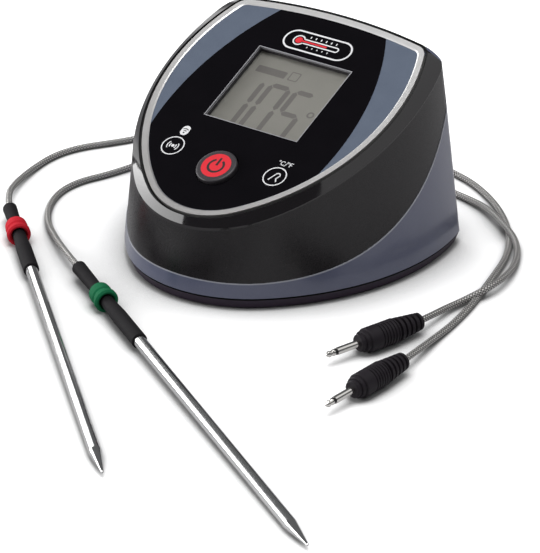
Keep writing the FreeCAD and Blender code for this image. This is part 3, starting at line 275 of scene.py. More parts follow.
class Nodes:
    """Short way to build a material's node tree."""

    def __init__(self, name):
        self.material = bpy.data.materials.new(name)
        self.material.use_nodes = True
        self.tree = self.material.node_tree
        self.shader = self.tree.nodes["Principled BSDF"]
        self.place = self.add("ShaderNodeTexCoord").outputs["Object"]

    def add(self, kind, **settings):
        node = self.tree.nodes.new(kind)
        for key, value in settings.items():
            setattr(node, key, value)
        return node

    def put(self, socket, value):
        """Link the value if it is a socket, else set it."""
        if isinstance(value, bpy.types.NodeSocket):
            self.tree.links.new(value, socket)
        elif value is not None:
            socket.default_value = value

    def math(self, operation, first, second=None):
        node = self.add("ShaderNodeMath", operation=operation)
        for socket, value in zip(node.inputs, (first, second)):
            self.put(socket, value)
        return node.outputs[0]

    def noise(self, scale, detail=3.0, rough=0.55, stretch=None):
        node = self.add("ShaderNodeTexNoise")
        source = self.place
        if stretch:
            mapping = self.add("ShaderNodeMapping")
            self.put(mapping.inputs["Vector"], source)
            mapping.inputs["Scale"].default_value = stretch
            source = mapping.outputs[0]
        self.put(node.inputs["Vector"], source)
        node.inputs["Scale"].default_value = scale
        node.inputs["Detail"].default_value = detail
        node.inputs["Roughness"].default_value = rough
        return node.outputs[0]

    def span(self, value, low, high, to_low=0.0, to_high=1.0):
        """The value's place between low and high, as a number between to_low and to_high."""
        node = self.add("ShaderNodeMapRange")
        for socket, item in zip(node.inputs, (value, low, high, to_low, to_high)):
            self.put(socket, item)
        return node.outputs[0]

    def blend(self, share, first, second):
        """Mix of two colours."""
        node = self.add("ShaderNodeMix", data_type="RGBA")
        self.put(node.inputs[0], share)
        self.put(node.inputs[6], first)
        self.put(node.inputs[7], second)
        return node.outputs[2]

    def between(self, share, first, second):
        """Mix of two numbers."""
        node = self.add("ShaderNodeMix")
        self.put(node.inputs[0], share)
        self.put(node.inputs[2], first)
        self.put(node.inputs[3], second)
        return node.outputs[0]

    def layered(self, share, first, second):
        """Mix of two shaders."""
        node = self.add("ShaderNodeMixShader")
        for socket, value in zip(node.inputs, (share, first, second)):
            self.put(socket, value)
        return node.outputs[0]

    def parts(self, vector):
        node = self.add("ShaderNodeSeparateXYZ")
        self.put(node.inputs[0], vector)
        return node.outputs

    def axis(self, name):
        return self.parts(self.place)[name]

    def geometry(self, name):
        return self.add("ShaderNodeNewGeometry").outputs[name]

    def bump(self, height, distance, strength=1.0):
        node = self.add("ShaderNodeBump")
        self.put(node.inputs["Height"], height)
        node.inputs["Strength"].default_value = strength
        node.inputs["Distance"].default_value = distance
        return node.outputs[0]

    def surface(self, shader):
        self.put(self.tree.nodes["Material Output"].inputs["Surface"], shader)


def shade(colour, factor):
    """The colour made darker or lighter."""
    return (*(min(value * factor, 1.0) for value in colour[:3]), 1.0)


def moulded(name, colour, rough, metal=0.0, coat=0.0, patch=400.0, spread=0.12, grain=6000.0,
            depth=0.00002, rough_spread=0.05, sheen=0.0, shine=0.5):
    """Moulded or metal surface with broad colour variation, fine grain and uneven gloss.

    The colour is either one colour, which is varied here, or a function that builds the colour's nodes."""
    make = Nodes(name)
    shader = make.shader
    if callable(colour):
        ground = colour(make)
    else:
        broad = make.noise(patch, 4.0, 0.6)
        ground = make.blend(broad, shade(colour, 1 - spread), shade(colour, 1 + spread))
    fine = make.noise(grain, 2.0, 0.6)
    make.put(shader.inputs["Base Color"], ground)
    make.put(shader.inputs["Roughness"],
             make.span(fine, 0.3, 0.7, max(rough - rough_spread, 0.02), min(rough + rough_spread, 1.0)))
    make.put(shader.inputs["Normal"], make.bump(fine, depth))
    shader.inputs["Metallic"].default_value = metal
    shader.inputs["Specular IOR Level"].default_value = shine
    shader.inputs["Coat Weight"].default_value = coat
    shader.inputs["Coat Roughness"].default_value = 0.1
    shader.inputs["Sheen Weight"].default_value = sheen
    return make.material


FACE_TILT = math.radians(23.85)
FACE_HEIGHT = 49.93 * MM


def face_depth(make):
    """Height over the face plane, in metres."""
    risen = make.math("MULTIPLY", make.math("SUBTRACT", make.axis("Z"), FACE_HEIGHT), math.cos(FACE_TILT))
    return make.math("SUBTRACT", risen, make.math("MULTIPLY", make.axis("Y"), math.sin(FACE_TILT)))


# where one finish or painted shade turns into the next, as heights over the face plane: none of the second,
# then all of it
SHOULDER_START, SHOULDER_FULL = -3.15 * MM, -2.95 * MM
APRON_GROOVE_START, APRON_GROOVE_FULL = -2.0 * MM, -1.9 * MM
SHELL_GROOVE_START, SHELL_GROOVE_FULL = -1.9 * MM, -1.6 * MM
WELL_FULL, WELL_END = -1.24 * MM, -1.16 * MM
BEVEL_FACING = 0.72     # cosine between the shoulder bevel's normal and the face's


def apron_material():
    """Satin wall with a fine grain, a polished bevelled shoulder above it, and painted shade: black in the
    groove inside.
    """
    make = Nodes("apron_black")
    depth = face_depth(make)
    polished = make.span(depth, SHOULDER_START, SHOULDER_FULL)
    fine = make.noise(5200.0, 2.0, 0.6)
    broad = make.noise(260.0, 4.0, 0.6)
    normal = make.parts(make.geometry("Normal"))
    facing = make.math("SUBTRACT", make.math("MULTIPLY", normal["Z"], math.cos(FACE_TILT)),
                       make.math("MULTIPLY", normal["Y"], math.sin(FACE_TILT)))
    off_bevel = make.math("ABSOLUTE", make.math("SUBTRACT", facing, BEVEL_FACING))
    # painted shade: the groove between shoulder and rim coloured black
    groove = make.math("MULTIPLY", make.span(off_bevel, 0.17, 0.22),
                       make.span(depth, APRON_GROOVE_START, APRON_GROOVE_FULL))
    ground = make.blend(broad, linear(14, 11, 14), linear(20, 16, 20))
    make.put(make.shader.inputs["Base Color"], make.blend(groove, ground, linear(3, 3, 4)))
    make.put(make.shader.inputs["Coat Weight"], make.math("MULTIPLY", polished, 0.4))
    make.shader.inputs["Coat Roughness"].default_value = 0.03
    satin = make.span(fine, 0.3, 0.7, 0.24, 0.31)
    gloss = make.span(broad, 0.3, 0.7, 0.06, 0.10)
    dull = make.math("MULTIPLY", groove, 0.6)
    make.put(make.shader.inputs["Roughness"], make.math("ADD", make.between(polished, satin, gloss), dull))
    grain = make.math("MULTIPLY", fine, make.math("SUBTRACT", 1.0, polished))
    make.put(make.shader.inputs["Normal"], make.bump(grain, 0.000012))
    return make.material


# painted light and shade on the rim: greyer at RIM_FRONT, lighter at RIM_BACK
RIM_FRONT, RIM_BACK = -48 * MM, 36 * MM
# painted shade: black band in the seam at the top of the tray, between SEAM_LOW and SEAM_HIGH
SEAM_LOW, SEAM_HIGH = 3.5 * MM, 3.65 * MM


def rim_ground(make):
    """Silver lacquer with painted light and shade: greyer at the front, lighter towards the back."""
    broad = make.noise(220.0)
    # painted light towards the back, painted shade towards the front
    lit_back = make.blend(broad, linear(226, 225, 224), linear(240, 239, 238))
    shaded_front = make.blend(broad, linear(184, 182, 181), linear(198, 196, 195))
    return make.blend(make.span(make.axis("Y"), RIM_FRONT, RIM_BACK), shaded_front, lit_back)


def base_ground(make):
    """Near-black tray, with painted shade: black in the seam at its top."""
    tray = make.blend(make.noise(300.0), linear(46, 36, 51), linear(54, 42, 59))
    return make.blend(make.span(make.axis("Z"), SEAM_LOW, SEAM_HIGH), tray, linear(4, 4, 5))


# the arc along which the apron ends on the shell's sides, and the painted highlight line on it
ARC_RADIUS, ARC_Y, ARC_Z = 104.5 * MM, -43.0 * MM, 114.0 * MM
LINE_HALF, LINE_END = 0.24 * MM, 0.42 * MM
LINE_STOP, LINE_GONE = 39.6 * MM, 39.9 * MM


def slate_material(name, colours, rough, shine, coat, extra):
    """Slate-blue plastic with a fine metallic fleck under a clear skin; extra adds one piece's own colouring:
    painted highlight and shade on the shell, grey well walls on the face.
    """
    make = Nodes(name)
    shader = make.shader
    dark, light, spark = colours
    broad = make.noise(180.0, 4.0, 0.6)
    fleck = make.noise(14000.0, 1.0, 0.5)
    ground = make.blend(make.span(fleck, 0.45, 0.75, 0.0, 0.35), make.blend(broad, dark, light), spark)
    make.put(shader.inputs["Base Color"], extra(make, ground))
    make.put(shader.inputs["Roughness"], make.span(broad, 0.3, 0.7, rough - 0.04, rough + 0.04))
    make.put(shader.inputs["Normal"], make.bump(make.noise(7000.0), 0.000006))
    shader.inputs["Metallic"].default_value = 0.08
    shader.inputs["Specular IOR Level"].default_value = shine
    shader.inputs["Coat Weight"].default_value = coat
    shader.inputs["Coat Roughness"].default_value = 0.12
    return make.material


def lit_edge(make, ground):
    """Painted highlight: a brighter line along the arc of the apron, where its edge catches light. Painted
    shade: black in the groove round the rim.
    """
    across = make.math("SUBTRACT", make.axis("Y"), ARC_Y)
    rise = make.math("SUBTRACT", make.axis("Z"), ARC_Z)
    squares = make.math("ADD", make.math("MULTIPLY", across, across), make.math("MULTIPLY", rise, rise))
    away = make.math("ABSOLUTE", make.math("SUBTRACT", make.math("SQRT", squares), ARC_RADIUS))
    near = make.span(away, LINE_HALF, LINE_END, 0.45, 0.0)
    ahead = make.span(make.axis("Y"), LINE_STOP, LINE_GONE, 1.0, 0.0)
    # painted highlight: lighter line along the apron's arc
    edge_highlight = make.blend(make.math("MULTIPLY", near, ahead), ground, linear(206, 207, 211))
    # painted shade: black on the inward wall of the groove round the rim
    inward = make.span(make.parts(make.geometry("Normal"))["Y"], -0.3, -0.1, 1.0, 0.0)
    high = make.span(face_depth(make), SHELL_GROOVE_START, SHELL_GROOVE_FULL)
    return make.blend(make.math("MULTIPLY", inward, high), edge_highlight, linear(8, 8, 9))


def grey_well(make, ground):
    """Grey walls of the opening round the display."""
    grey = make.blend(make.noise(1500.0), linear(62, 60, 63), linear(78, 76, 79))
    return make.blend(make.span(face_depth(make), WELL_FULL, WELL_END, 1.0, 0.0), ground, grey)


def lens_material():
    """Black, lightly waved glass with a dim reflection."""
    make = Nodes("lens_black")
    broad = make.noise(120.0, 3.0, 0.5)
    make.put(make.shader.inputs["Base Color"], make.blend(broad, linear(10, 9, 12), linear(15, 13, 17)))
    make.put(make.shader.inputs["Roughness"], make.span(broad, 0.3, 0.7, 0.07, 0.12))
    make.put(make.shader.inputs["Normal"], make.bump(make.noise(900.0, 1.0), 0.000002))
    make.shader.inputs["Specular IOR Level"].default_value = 0.1
    return make.material


WINDOW_SIDE, WINDOW_LOW, WINDOW_HIGH = 19.24 * MM, -8.08 * MM, 26.42 * MM
FROST_FULL, FROST_END = 0.22 * MM, 0.4 * MM


def pane_material():
    """Clear pane: a thin reflection over what lies behind it, and a frosted, bevelled edge."""
    make = Nodes("window_clear")
    through = make.add("ShaderNodeBsdfTransparent")
    through.inputs["Color"].default_value = (0.95, 0.945, 0.945, 1.0)
    gloss = make.add("ShaderNodeBsdfGlossy")
    gloss.inputs["Roughness"].default_value = 0.06
    edge = make.add("ShaderNodeFresnel")
    edge.inputs["IOR"].default_value = 1.2
    front = make.math("SUBTRACT", 1.0, make.geometry("Backfacing"))
    reflected = make.math("MULTIPLY", edge.outputs[0], front)
    clear = make.layered(reflected, through.outputs[0], gloss.outputs[0])

    risen = make.math("MULTIPLY", make.math("SUBTRACT", make.axis("Z"), FACE_HEIGHT), math.sin(FACE_TILT))
    up_slope = make.math("ADD", risen, make.math("MULTIPLY", make.axis("Y"), math.cos(FACE_TILT)))
    to_side = make.math("SUBTRACT", WINDOW_SIDE, make.math("ABSOLUTE", make.axis("X")))
    to_end = make.math("MINIMUM", make.math("SUBTRACT", up_slope, WINDOW_LOW),
                       make.math("SUBTRACT", WINDOW_HIGH, up_slope))
    inward = make.math("MINIMUM", to_side, to_end)
    frost = make.add("ShaderNodeBsdfDiffuse")
    cloudy = make.blend(make.noise(900.0), linear(150, 150, 154), linear(184, 184, 188))
    make.put(frost.inputs["Color"], cloudy)
    make.surface(make.layered(make.span(inward, FROST_FULL, FROST_END, 0.85, 0.0), clear, frost.outputs[0]))
    return make.material


def display_material(name, colour):
    """Reflective display: grey-green with faint mottling and a soft gloss."""
    make = Nodes(name)
    broad = make.noise(160.0, 3.0, 0.6)
    fine = make.noise(3500.0, 2.0, 0.5)
    ground = make.blend(broad, shade(colour, 0.94), shade(colour, 1.06))
    fleck = make.span(fine, 0.4, 0.7, 0.0, 0.12)
    make.put(make.shader.inputs["Base Color"], make.blend(fleck, ground, shade(colour, 1.25)))
    make.put(make.shader.inputs["Roughness"], make.span(fine, 0.3, 0.7, 0.38, 0.46))
    return make.material


def steel_material(name, colour, rough):
    """Polished steel with faint lengthwise polishing marks."""
    make = Nodes(name)
    marks = make.noise(900.0, 3.0, 0.6, stretch=(1.0, 1.0, 6.0))
    make.put(make.shader.inputs["Base Color"], make.blend(marks, shade(colour, 0.95), shade(colour, 1.03)))
    make.put(make.shader.inputs["Roughness"], make.span(marks, 0.3, 0.7, rough * 0.7, rough * 1.3))
    make.put(make.shader.inputs["Normal"], make.bump(marks, 0.0000005))
    make.shader.inputs["Metallic"].default_value = 1.0
    return make.material


STRANDS_PER_MM, STRANDS_ROUND, WIRES_IN_STRAND = 0.82, 6.0, 3.0
EVEN_SHIFT = 600.0      # keeps the counted strands above zero


def braid_material():
    """Woven stainless braid: two families of strands that pass over and under each other, with painted shade:
    one family drawn darker, and dark hollows between the strands.
    """
    make = Nodes("cable_braid")
    place = make.parts(make.add("ShaderNodeTexCoord").outputs["UV"])
    along = make.math("MULTIPLY", place["X"], STRANDS_PER_MM)
    around = make.math("MULTIPLY", place["Y"], STRANDS_ROUND)
    first, second = make.math("ADD", along, around), make.math("SUBTRACT", along, around)
    over = make.math("MODULO", make.math("ADD", make.math("FLOOR", first),
                                         make.math("ADD", make.math("FLOOR", second), EVEN_SHIFT)), 2.0)
    part_a, part_b = make.math("FRACT", first), make.math("FRACT", make.math("ADD", second, 100.0))

    def hump(value):
        return make.math("SINE", make.math("MULTIPLY", value, math.pi))

    def wires(value):
        waves = hump(make.math("MULTIPLY", value, WIRES_IN_STRAND))
        return make.span(make.math("ABSOLUTE", waves), 0.0, 1.0, 0.7, 1.0)

    def strand(across, lengthwise):
        crown = make.math("POWER", hump(across), 0.6)
        return make.math("MULTIPLY", make.math("MULTIPLY", crown, wires(across)),
                         make.math("POWER", hump(lengthwise), 0.5))

    height = make.between(over, strand(part_a, part_b), strand(part_b, part_a))
    worn = make.noise(700.0, 3.0, 0.6)
    bright = make.blend(worn, linear(232, 230, 227), linear(248, 246, 243))
    # painted shade: the strands of one family drawn darker
    bright = make.blend(over, bright, linear(188, 186, 184))
    # painted shade: dark in the hollows between strands
    raised = make.span(height, 0.25, 0.75)
    make.put(make.shader.inputs["Base Color"], make.blend(raised, linear(18, 16, 16), bright))
    make.put(make.shader.inputs["Roughness"], make.span(worn, 0.3, 0.7, 0.30, 0.42))
    make.put(make.shader.inputs["Normal"], make.bump(height, 0.00016, 0.9))
    make.shader.inputs["Metallic"].default_value = 0.35
    return make.material


def rubber_material(name, colour, rough, depth=0.00004, spread=0.16, sheen=0.0):
    """Dull, grained rubber or silicone."""
    return moulded(name, colour, rough, patch=300.0, spread=spread, grain=3800.0, depth=depth,
                   rough_spread=0.08, sheen=sheen, shine=0.18)


def printed_material(name, colour):
    """Ink of the prints on the face."""
    return moulded(name, colour, 0.42, patch=900.0, spread=0.04, grain=9000.0, depth=0.000004)


# dark, light and fleck of the two slate-blue mouldings
SHELL_SLATE = (linear(80, 85, 108), linear(88, 93, 117), linear(130, 133, 156))
FACE_SLATE = (linear(87, 96, 112), linear(95, 105, 121), linear(132, 141, 158))

SURFACES = {
    "apron_black": apron_material(),
    "slate_shell": slate_material("slate_shell", SHELL_SLATE, 0.32, 0.5, 0.9, lit_edge),
    "base_black": moulded("base_black", base_ground, 0.55, grain=4200.0, shine=0.3),
    "rim_silver": moulded("rim_silver", rim_ground, 0.36, metal=0.7, grain=9000.0, depth=0.000006,
                          rough_spread=0.06),
    "slate_face": slate_material("slate_face", FACE_SLATE, 0.34, 0.2, 0.0, grey_well),
    "lens_black": lens_material(),
    "window_clear": pane_material(),
    "lcd_glass": display_material("lcd_glass", linear(141, 141, 134)),
    "white_plastic": moulded("white_plastic", linear(226, 226, 222), 0.45),
    "inner_black": moulded("inner_black", linear(38, 38, 38), 0.5),
    "strip_rubber": rubber_material("strip_rubber", linear(140, 140, 146), 0.6),
    "board_green": moulded("board_green", linear(22, 96, 52), 0.38, coat=0.3, patch=900.0, spread=0.2),
    "chip_black": moulded("chip_black", linear(30, 30, 31), 0.55),
    "can_metal": steel_material("can_metal", linear(190, 190, 192), 0.3),
    "screw_steel": steel_material("screw_steel", linear(176, 176, 178), 0.28),
    "spring_steel": steel_material("spring_steel", linear(196, 193, 188), 0.25),
    "socket_black": moulded("socket_black", linear(28, 28, 29), 0.4),
    "cell_wrap": moulded("cell_wrap", linear(58, 60, 66), 0.3, coat=0.5),
    "pad_rubber": rubber_material("pad_rubber", linear(40, 40, 41), 0.75),
    "button_grey": moulded("button_grey", linear(50, 47, 51), 0.4, spread=0.08, grain=5200.0,
                           depth=0.00001),
    "probe_steel": steel_material("probe_steel", linear(226, 226, 226), 0.13),
    "sensor_glass": moulded("sensor_glass", linear(180, 132, 64), 0.15),
    "sleeve_rubber": rubber_material("sleeve_rubber", linear(21, 19, 22), 0.72, depth=0.00005),
    "tie_black": rubber_material("tie_black", linear(30, 30, 32), 0.85, depth=0.00012, sheen=0.3),
    "plug_rubber": rubber_material("plug_rubber", linear(38, 34, 39), 0.5, depth=0.00002),
    "pin_chrome": steel_material("pin_chrome", linear(236, 234, 230), 0.08),
    "insulator_black": moulded("insulator_black", linear(20, 20, 20), 0.35),
    "red_silicone": rubber_material("red_silicone", linear(196, 28, 44), 0.72, depth=0.00005,
                                    spread=0.1),
    "green_silicone": rubber_material("green_silicone", linear(14, 104, 66), 0.72, depth=0.00005,
                                      spread=0.1),
    "cable_braid": braid_material(),
}

for node in nodes.values():
    slot_name = node.data.materials[0].name.split(".")[0]
    node.material_slots[0].link = "OBJECT"
    node.material_slots[0].material = SURFACES[slot_name]
for colour in CABLES:
    tubes[colour].data.materials.append(SURFACES["cable_braid"])
    ties[colour].data.materials.append(SURFACES["tie_black"])

WHITE_INK = printed_material("white_ink", linear(228, 228, 230))
RED_INK = printed_material("red_ink", linear(222, 26, 44))
DARK_INK = printed_material("dark_ink", linear(28, 26, 29))
SEGMENT = display_material("display_segment", linear(112, 110, 107))


# ---------------------------------------------------------------- printing on the face

def on_face(x, u, w):
    """Point on the tilted face: across, up the slope and out of it, in millimetres."""
    sine, cosine = math.sin(FACE_TILT), math.cos(FACE_TILT)
    return Vector((x * MM, (u * cosine - w * sine) * MM, FACE_HEIGHT + (u * sine + w * cosine) * MM))


def print_shapes(name, shapes, w, thick, ink, body):
    """Raised print: closed outlines, each a list of (x, u) corners, as thin slabs."""
    points, faces = [], []
    for shape in shapes:
        start, count = len(points), len(shape)
        points += [on_face(x, u, w) for x, u in shape] + [on_face(x, u, w + thick) for x, u in shape]
        faces.append(tuple(start + count + index for index in range(count)))
        faces.append(tuple(start + index for index in reversed(range(count))))
        for index in range(count):
            follow = (index + 1) % count
            faces.append((start + index, start + follow, start + count + follow, start + count + index))
    item = add_mesh(name, points, faces, smooth=False)
    item.data.materials.append(ink)
    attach(item, body)


def stroke(points, width):
    """Quads of a line of some width through the points, with square ends."""
    shapes = []
    for (x0, u0), (x1, u1) in zip(points, points[1:]):
        length = math.hypot(x1 - x0, u1 - u0)
        nx, nu = -(u1 - u0) / length * width / 2, (x1 - x0) / length * width / 2
        shapes.append([(x0 - nx, u0 - nu), (x1 - nx, u1 - nu), (x1 + nx, u1 + nu), (x0 + nx, u0 + nu)])
    return shapes


def band(outer, inner):
    """Quads between a closed outline and the same outline drawn inwards."""
    shapes, count = [], len(outer)
    for index in range(count):
        follow = (index + 1) % count
        shapes.append([outer[index], outer[follow], inner[follow], inner[index]])
    return shapes


def arc(x, u, radius, start, end, steps):
    """Points along part of a circle, by degrees from the right, anticlockwise."""
    return [(x + radius * math.cos(math.radians(start + (end - start) * index / steps)),
             u + radius * math.sin(math.radians(start + (end - start) * index / steps)))
            for index in range(steps + 1)]


def ring(x, u, radius, width, start=0, end=360, steps=48):
    """Quads of a ring or of a part of one."""
    outer, inner = arc(x, u, radius, start, end, steps), arc(x, u, radius - width, start, end, steps)
    return [[inner[index], outer[index], outer[index + 1], inner[index + 1]] for index in range(steps)]


def disc(x, u, radius, steps=48):
    return [arc(x, u, radius, 0, 360, steps)[:-1]]


def round_box(x0, u0, x1, u1, radius):
    """Outline of a rectangle with round corners."""
    corners = ((x1 - radius, u1 - radius, 0), (x0 + radius, u1 - radius, 90),
               (x0 + radius, u0 + radius, 180), (x1 - radius, u0 + radius, 270))
    return [point for x, u, start in corners for point in arc(x, u, radius, start, start + 90, 10)]


PRINT_LOW, PRINT_THICK = 0.004, 0.02


def lens_print(name, shapes, ink=WHITE_INK, rise=0.0):
    print_shapes(name, shapes, PRINT_LOW + rise, PRINT_THICK, ink, "housing")


# badge place: plain rounded frame with a thermometer sign and tick marks
BULB_X, SIGN_U, TUBE_END = -7.2, 33.1, 8.0
TICK_GAP = 2.1
badge = band(round_box(-13.2, 28.6, 14.2, 37.6, 4.49), round_box(-12.55, 29.25, 13.55, 36.95, 3.84))
badge += ring(BULB_X, SIGN_U, 2.3, 0.5, 24, 336)
for tube_u in (34.03, 32.17):
    badge += stroke([(-5.1, tube_u), (TUBE_END, tube_u)], 0.5)
badge += ring(TUBE_END, SIGN_U, 1.18, 0.5, -90, 90, 16)
for count, first_x, tick_low, tick_high, width in ((6, -3.6, 35.0, 35.9, 0.42),
                                                   (5, -2.55, 31.2, 30.6, 0.36)):
    for place in range(count):
        tick_x = first_x + place * TICK_GAP
        badge += stroke([(tick_x, tick_low), (tick_x, tick_high)], width)
lens_print("badge_frame", badge)
liquid = disc(BULB_X, SIGN_U, 1.35) + stroke([(-6.2, SIGN_U), (4.2, SIGN_U)], 0.72)
lens_print("badge_sign", liquid, RED_INK)

# touch keys: dot between two pairs of arcs at the left, plain sign at the right
KEY_X, KEY_U, KEY_RADIUS, KEY_LINE = 21.04, -24.05, 4.16, 0.42
left_key = ring(-KEY_X, KEY_U, KEY_RADIUS, KEY_LINE) + disc(-KEY_X, KEY_U, 0.62, 20)
for radius in (1.38, 2.3):
    for start in (-42, 138):
        left_key += ring(-KEY_X, KEY_U, radius, 0.4, start, start + 84, 14)
lens_print("left_key_print", left_key)
right_key = ring(KEY_X, KEY_U, KEY_RADIUS, KEY_LINE)
for line in ([(KEY_X - 1.5, KEY_U - 2.0), (KEY_X - 0.2, KEY_U + 0.9)],
             arc(KEY_X + 0.7, KEY_U + 0.75, 0.9, 165, -30, 12),
             [(KEY_X + 1.5, KEY_U + 0.3), (KEY_X + 0.9, KEY_U - 0.6), (KEY_X + 1.6, KEY_U - 2.0)]):
    right_key += stroke(line, KEY_LINE)
lens_print("right_key_print", right_key)

# pill with signal arcs
PILL_X, PILL_U, PILL_HALF, PILL_RISE = -20.9, -16.7, 1.53, 2.15
lens_print("signal_pill", [round_box(PILL_X - PILL_HALF, PILL_U - PILL_RISE, PILL_X + PILL_HALF,
                                     PILL_U + PILL_RISE, 1.5)])
signal = disc(PILL_X, PILL_U - 1.0, 0.34, 16)
for radius in (1.1, 1.95):
    signal += ring(PILL_X, PILL_U - 1.0, radius, 0.36, 52, 128, 10)
lens_print("signal_mark", signal, DARK_INK, PRINT_THICK)

# degrees C / degrees F
UNIT_X, UNIT_U, UNIT_HEIGHT, UNIT_LINE = 19.0, -18.9, 1.8, 0.29
UNIT_TOP, UNIT_BAR, STEM_X = UNIT_U + UNIT_HEIGHT, UNIT_U + UNIT_HEIGHT * 0.52, UNIT_X + 4.2
units = []
for degree_x in (UNIT_X, UNIT_X + 3.5):
    units += ring(degree_x, UNIT_TOP - 0.2, 0.36, 0.17, steps=16)
units += stroke(arc(UNIT_X + 1.5, UNIT_U + UNIT_HEIGHT / 2, 0.8, 45, 315, 16), UNIT_LINE)
units += stroke([(UNIT_X + 2.35, UNIT_U - 0.2), (UNIT_X + 3.1, UNIT_TOP + 0.2)], UNIT_LINE * 0.85)
units += stroke([(STEM_X, UNIT_U), (STEM_X, UNIT_TOP), (UNIT_X + 5.15, UNIT_TOP)], UNIT_LINE)
units += stroke([(STEM_X, UNIT_BAR), (UNIT_X + 5.0, UNIT_BAR)], UNIT_LINE)
lens_print("unit_print", units)

# power sign on a red disc
BUTTON_U, BUTTON_TOP, POWER_LINE = -27.7, 1.4, 0.85
power = ring(0, BUTTON_U - 0.15, 3.15, POWER_LINE, 118, 422, 40)
power += stroke([(0, BUTTON_U + 0.1), (0, BUTTON_U + 3.5)], POWER_LINE)
for name, shapes, rise, ink in (("button_disc", disc(0, BUTTON_U, 5.2, 64), 0.004, RED_INK),
                                ("button_sign", power, 0.026, DARK_INK)):
    print_shapes(name, shapes, BUTTON_TOP + rise, PRINT_THICK, ink, "button")


# ---------------------------------------------------------------- what the display shows

DISPLAY_W, FIGURE_THICK = -2.795, 0.012
SEGMENT_WIDTH, SEGMENT_GAP = 2.0, 0.18
TOP_U, MIDDLE_U, LOW_U = 13.9, 3.7, -7.2


def bar(x0, u0, x1, u1):
    """One segment with pointed ends."""
    half = SEGMENT_WIDTH / 2
    if abs(x1 - x0) > abs(u1 - u0):
        return [(x0, u0), (x0 + half, u0 - half), (x1 - half, u0 - half), (x1, u0), (x1 - half, u0 + half),
                (x0 + half, u0 + half)]
    return [(x0, u0), (x0 + half, u0 + half), (x0 + half, u1 - half), (x0, u1), (x0 - half, u1 - half),
            (x0 - half, u0 + half)]


def digit(left, right, lit):
    """Seven-segment figure: lit names the segments, a to f clockwise from the top and g in the middle."""
    gap, top, middle, low = SEGMENT_GAP, TOP_U, MIDDLE_U, LOW_U
    places = {
        "a": (left + gap, top, right - gap, top), "b": (right, middle + gap, right, top - gap),
        "c": (right, low + gap, right, middle - gap), "d": (left + gap, low, right - gap, low),
        "e": (left, low + gap, left, middle - gap), "f": (left, middle + gap, left, top - gap),
        "g": (left + gap, middle, right - gap, middle),
    }
    return [bar(*places[name]) for name in lit]


# 105 with a degree ring, and plain boxes above
figures = digit(-17.0, -9.8, "bc") + digit(-6.4, 0.9, "abcdef") + digit(3.8, 10.8, "afgcd")
figures += ring(14.6, 6.1, 1.4, 0.62, steps=24)
figures += [round_box(-16.2, 17.6, -4.2, 20.6, 0.4)]
figures += band(round_box(-2.9, 17.6, 0.9, 21.6, 0.5), round_box(-2.55, 17.95, 0.55, 21.25, 0.3))
figures += ring(15.6, 16.2, 2.6, 0.5, -50, 50, 12)
print_shapes("display_figures", figures, DISPLAY_W, FIGURE_THICK, SEGMENT, "housing")


# ---------------------------------------------------------------- floor and light

FLOOR_HALF = 4
# painted contact shadow on the paper: its reach, its tone, and the glow that lifts open paper to white
SHADE_REACH = 0.03      # how far from a piece the paper looks darker
PAPER_SHADED, PAPER_LIFT = 0.42, 0.5


def grey(tone):
    return (tone, tone, tone, 1)


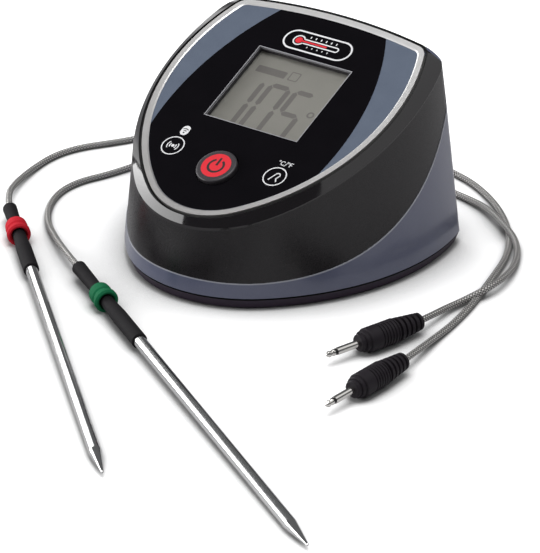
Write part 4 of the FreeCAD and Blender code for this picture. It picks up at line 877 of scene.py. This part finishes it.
def make_floor():
    """White paper with a painted contact shadow, darker close to a piece, and see-through to a camera below
    it.

    What it throws back onto the object is painted light: dim close at its left, and bright at its right and
    far left."""
    corners = [(-FLOOR_HALF, -FLOOR_HALF, 0), (FLOOR_HALF, -FLOOR_HALF, 0), (FLOOR_HALF, FLOOR_HALF, 0),
               (-FLOOR_HALF, FLOOR_HALF, 0)]
    floor = add_mesh("floor", corners, [(0, 1, 2, 3)], smooth=False)
    make = Nodes("floor_paper")
    seen = make.add("ShaderNodeLightPath").outputs["Is Camera Ray"]
    bounced = make.blend(make.span(make.axis("X"), -0.25, 0.35), (0.2, 0.2, 0.205, 1), (0.9, 0.89, 0.9, 1))
    bounced = make.blend(make.span(make.axis("X"), -0.5, -0.3, 1.0, 0.0), bounced, grey(0.8))
    open_air = make.add("ShaderNodeAmbientOcclusion")
    open_air.inputs["Distance"].default_value = SHADE_REACH
    # painted contact shadow: close to a piece the paper darkens and loses its glow
    clear = make.span(open_air.outputs["AO"], 0.45, 0.93)
    paper = make.blend(clear, grey(PAPER_SHADED), make.blend(make.noise(3.0), grey(0.94), grey(0.96)))
    make.put(make.shader.inputs["Base Color"], make.blend(seen, bounced, paper))
    make.shader.inputs["Roughness"].default_value = 0.9
    make.shader.inputs["Specular IOR Level"].default_value = 0.1
    make.shader.inputs["Emission Color"].default_value = grey(1)
    lift = make.math("MULTIPLY", make.math("MULTIPLY", seen, clear), PAPER_LIFT)
    make.put(make.shader.inputs["Emission Strength"], lift)
    under = make.math("MULTIPLY", seen, make.geometry("Backfacing"))
    nothing = make.add("ShaderNodeBsdfTransparent").outputs[0]
    make.surface(make.layered(under, make.shader.outputs[0], nothing))
    floor.data.materials.append(make.material)


LAMP_DISTANCE, AIM_HEIGHT = 1.5, 0.03


def softbox(name, azimuth, elevation, width, height, brightness):
    """Rectangular lamp that faces the object. Azimuth is from the front, towards the right."""
    turn, rise = math.radians(azimuth), math.radians(elevation)
    away = Vector((math.sin(turn) * math.cos(rise), -math.cos(turn) * math.cos(rise), math.sin(rise)))
    data = bpy.data.lights.new(name, "AREA")
    data.shape, data.size, data.size_y = "RECTANGLE", width, height
    data.energy = brightness * math.pi * width * height
    lamp = bpy.data.objects.new(name, data)
    lamp.location = away * LAMP_DISTANCE + Vector((0, 0, AIM_HEIGHT))
    lamp.rotation_euler = away.to_track_quat("Z", "Y").to_euler()
    bpy.context.scene.collection.objects.link(lamp)


def make_world():
    """Dim, even studio surroundings."""
    world = bpy.data.worlds.new("Studio")
    bpy.context.scene.world = world
    world.use_nodes = True
    ground = world.node_tree.nodes["Background"]
    ground.inputs["Color"].default_value = (0.97, 0.98, 1.0, 1.0)
    ground.inputs["Strength"].default_value = 0.13


make_floor()
make_world()
softbox("key_left", azimuth=-64, elevation=14, width=2.0, height=0.74, brightness=4.5)
softbox("left_back", azimuth=-112, elevation=23, width=0.92, height=0.56, brightness=2.2)
softbox("overhead", azimuth=10, elevation=84, width=0.9, height=0.9, brightness=5.6)
softbox("right_high", azimuth=112, elevation=52, width=2.7, height=1.0, brightness=0.62)
bpy.context.scene.view_settings.view_transform = "Standard"
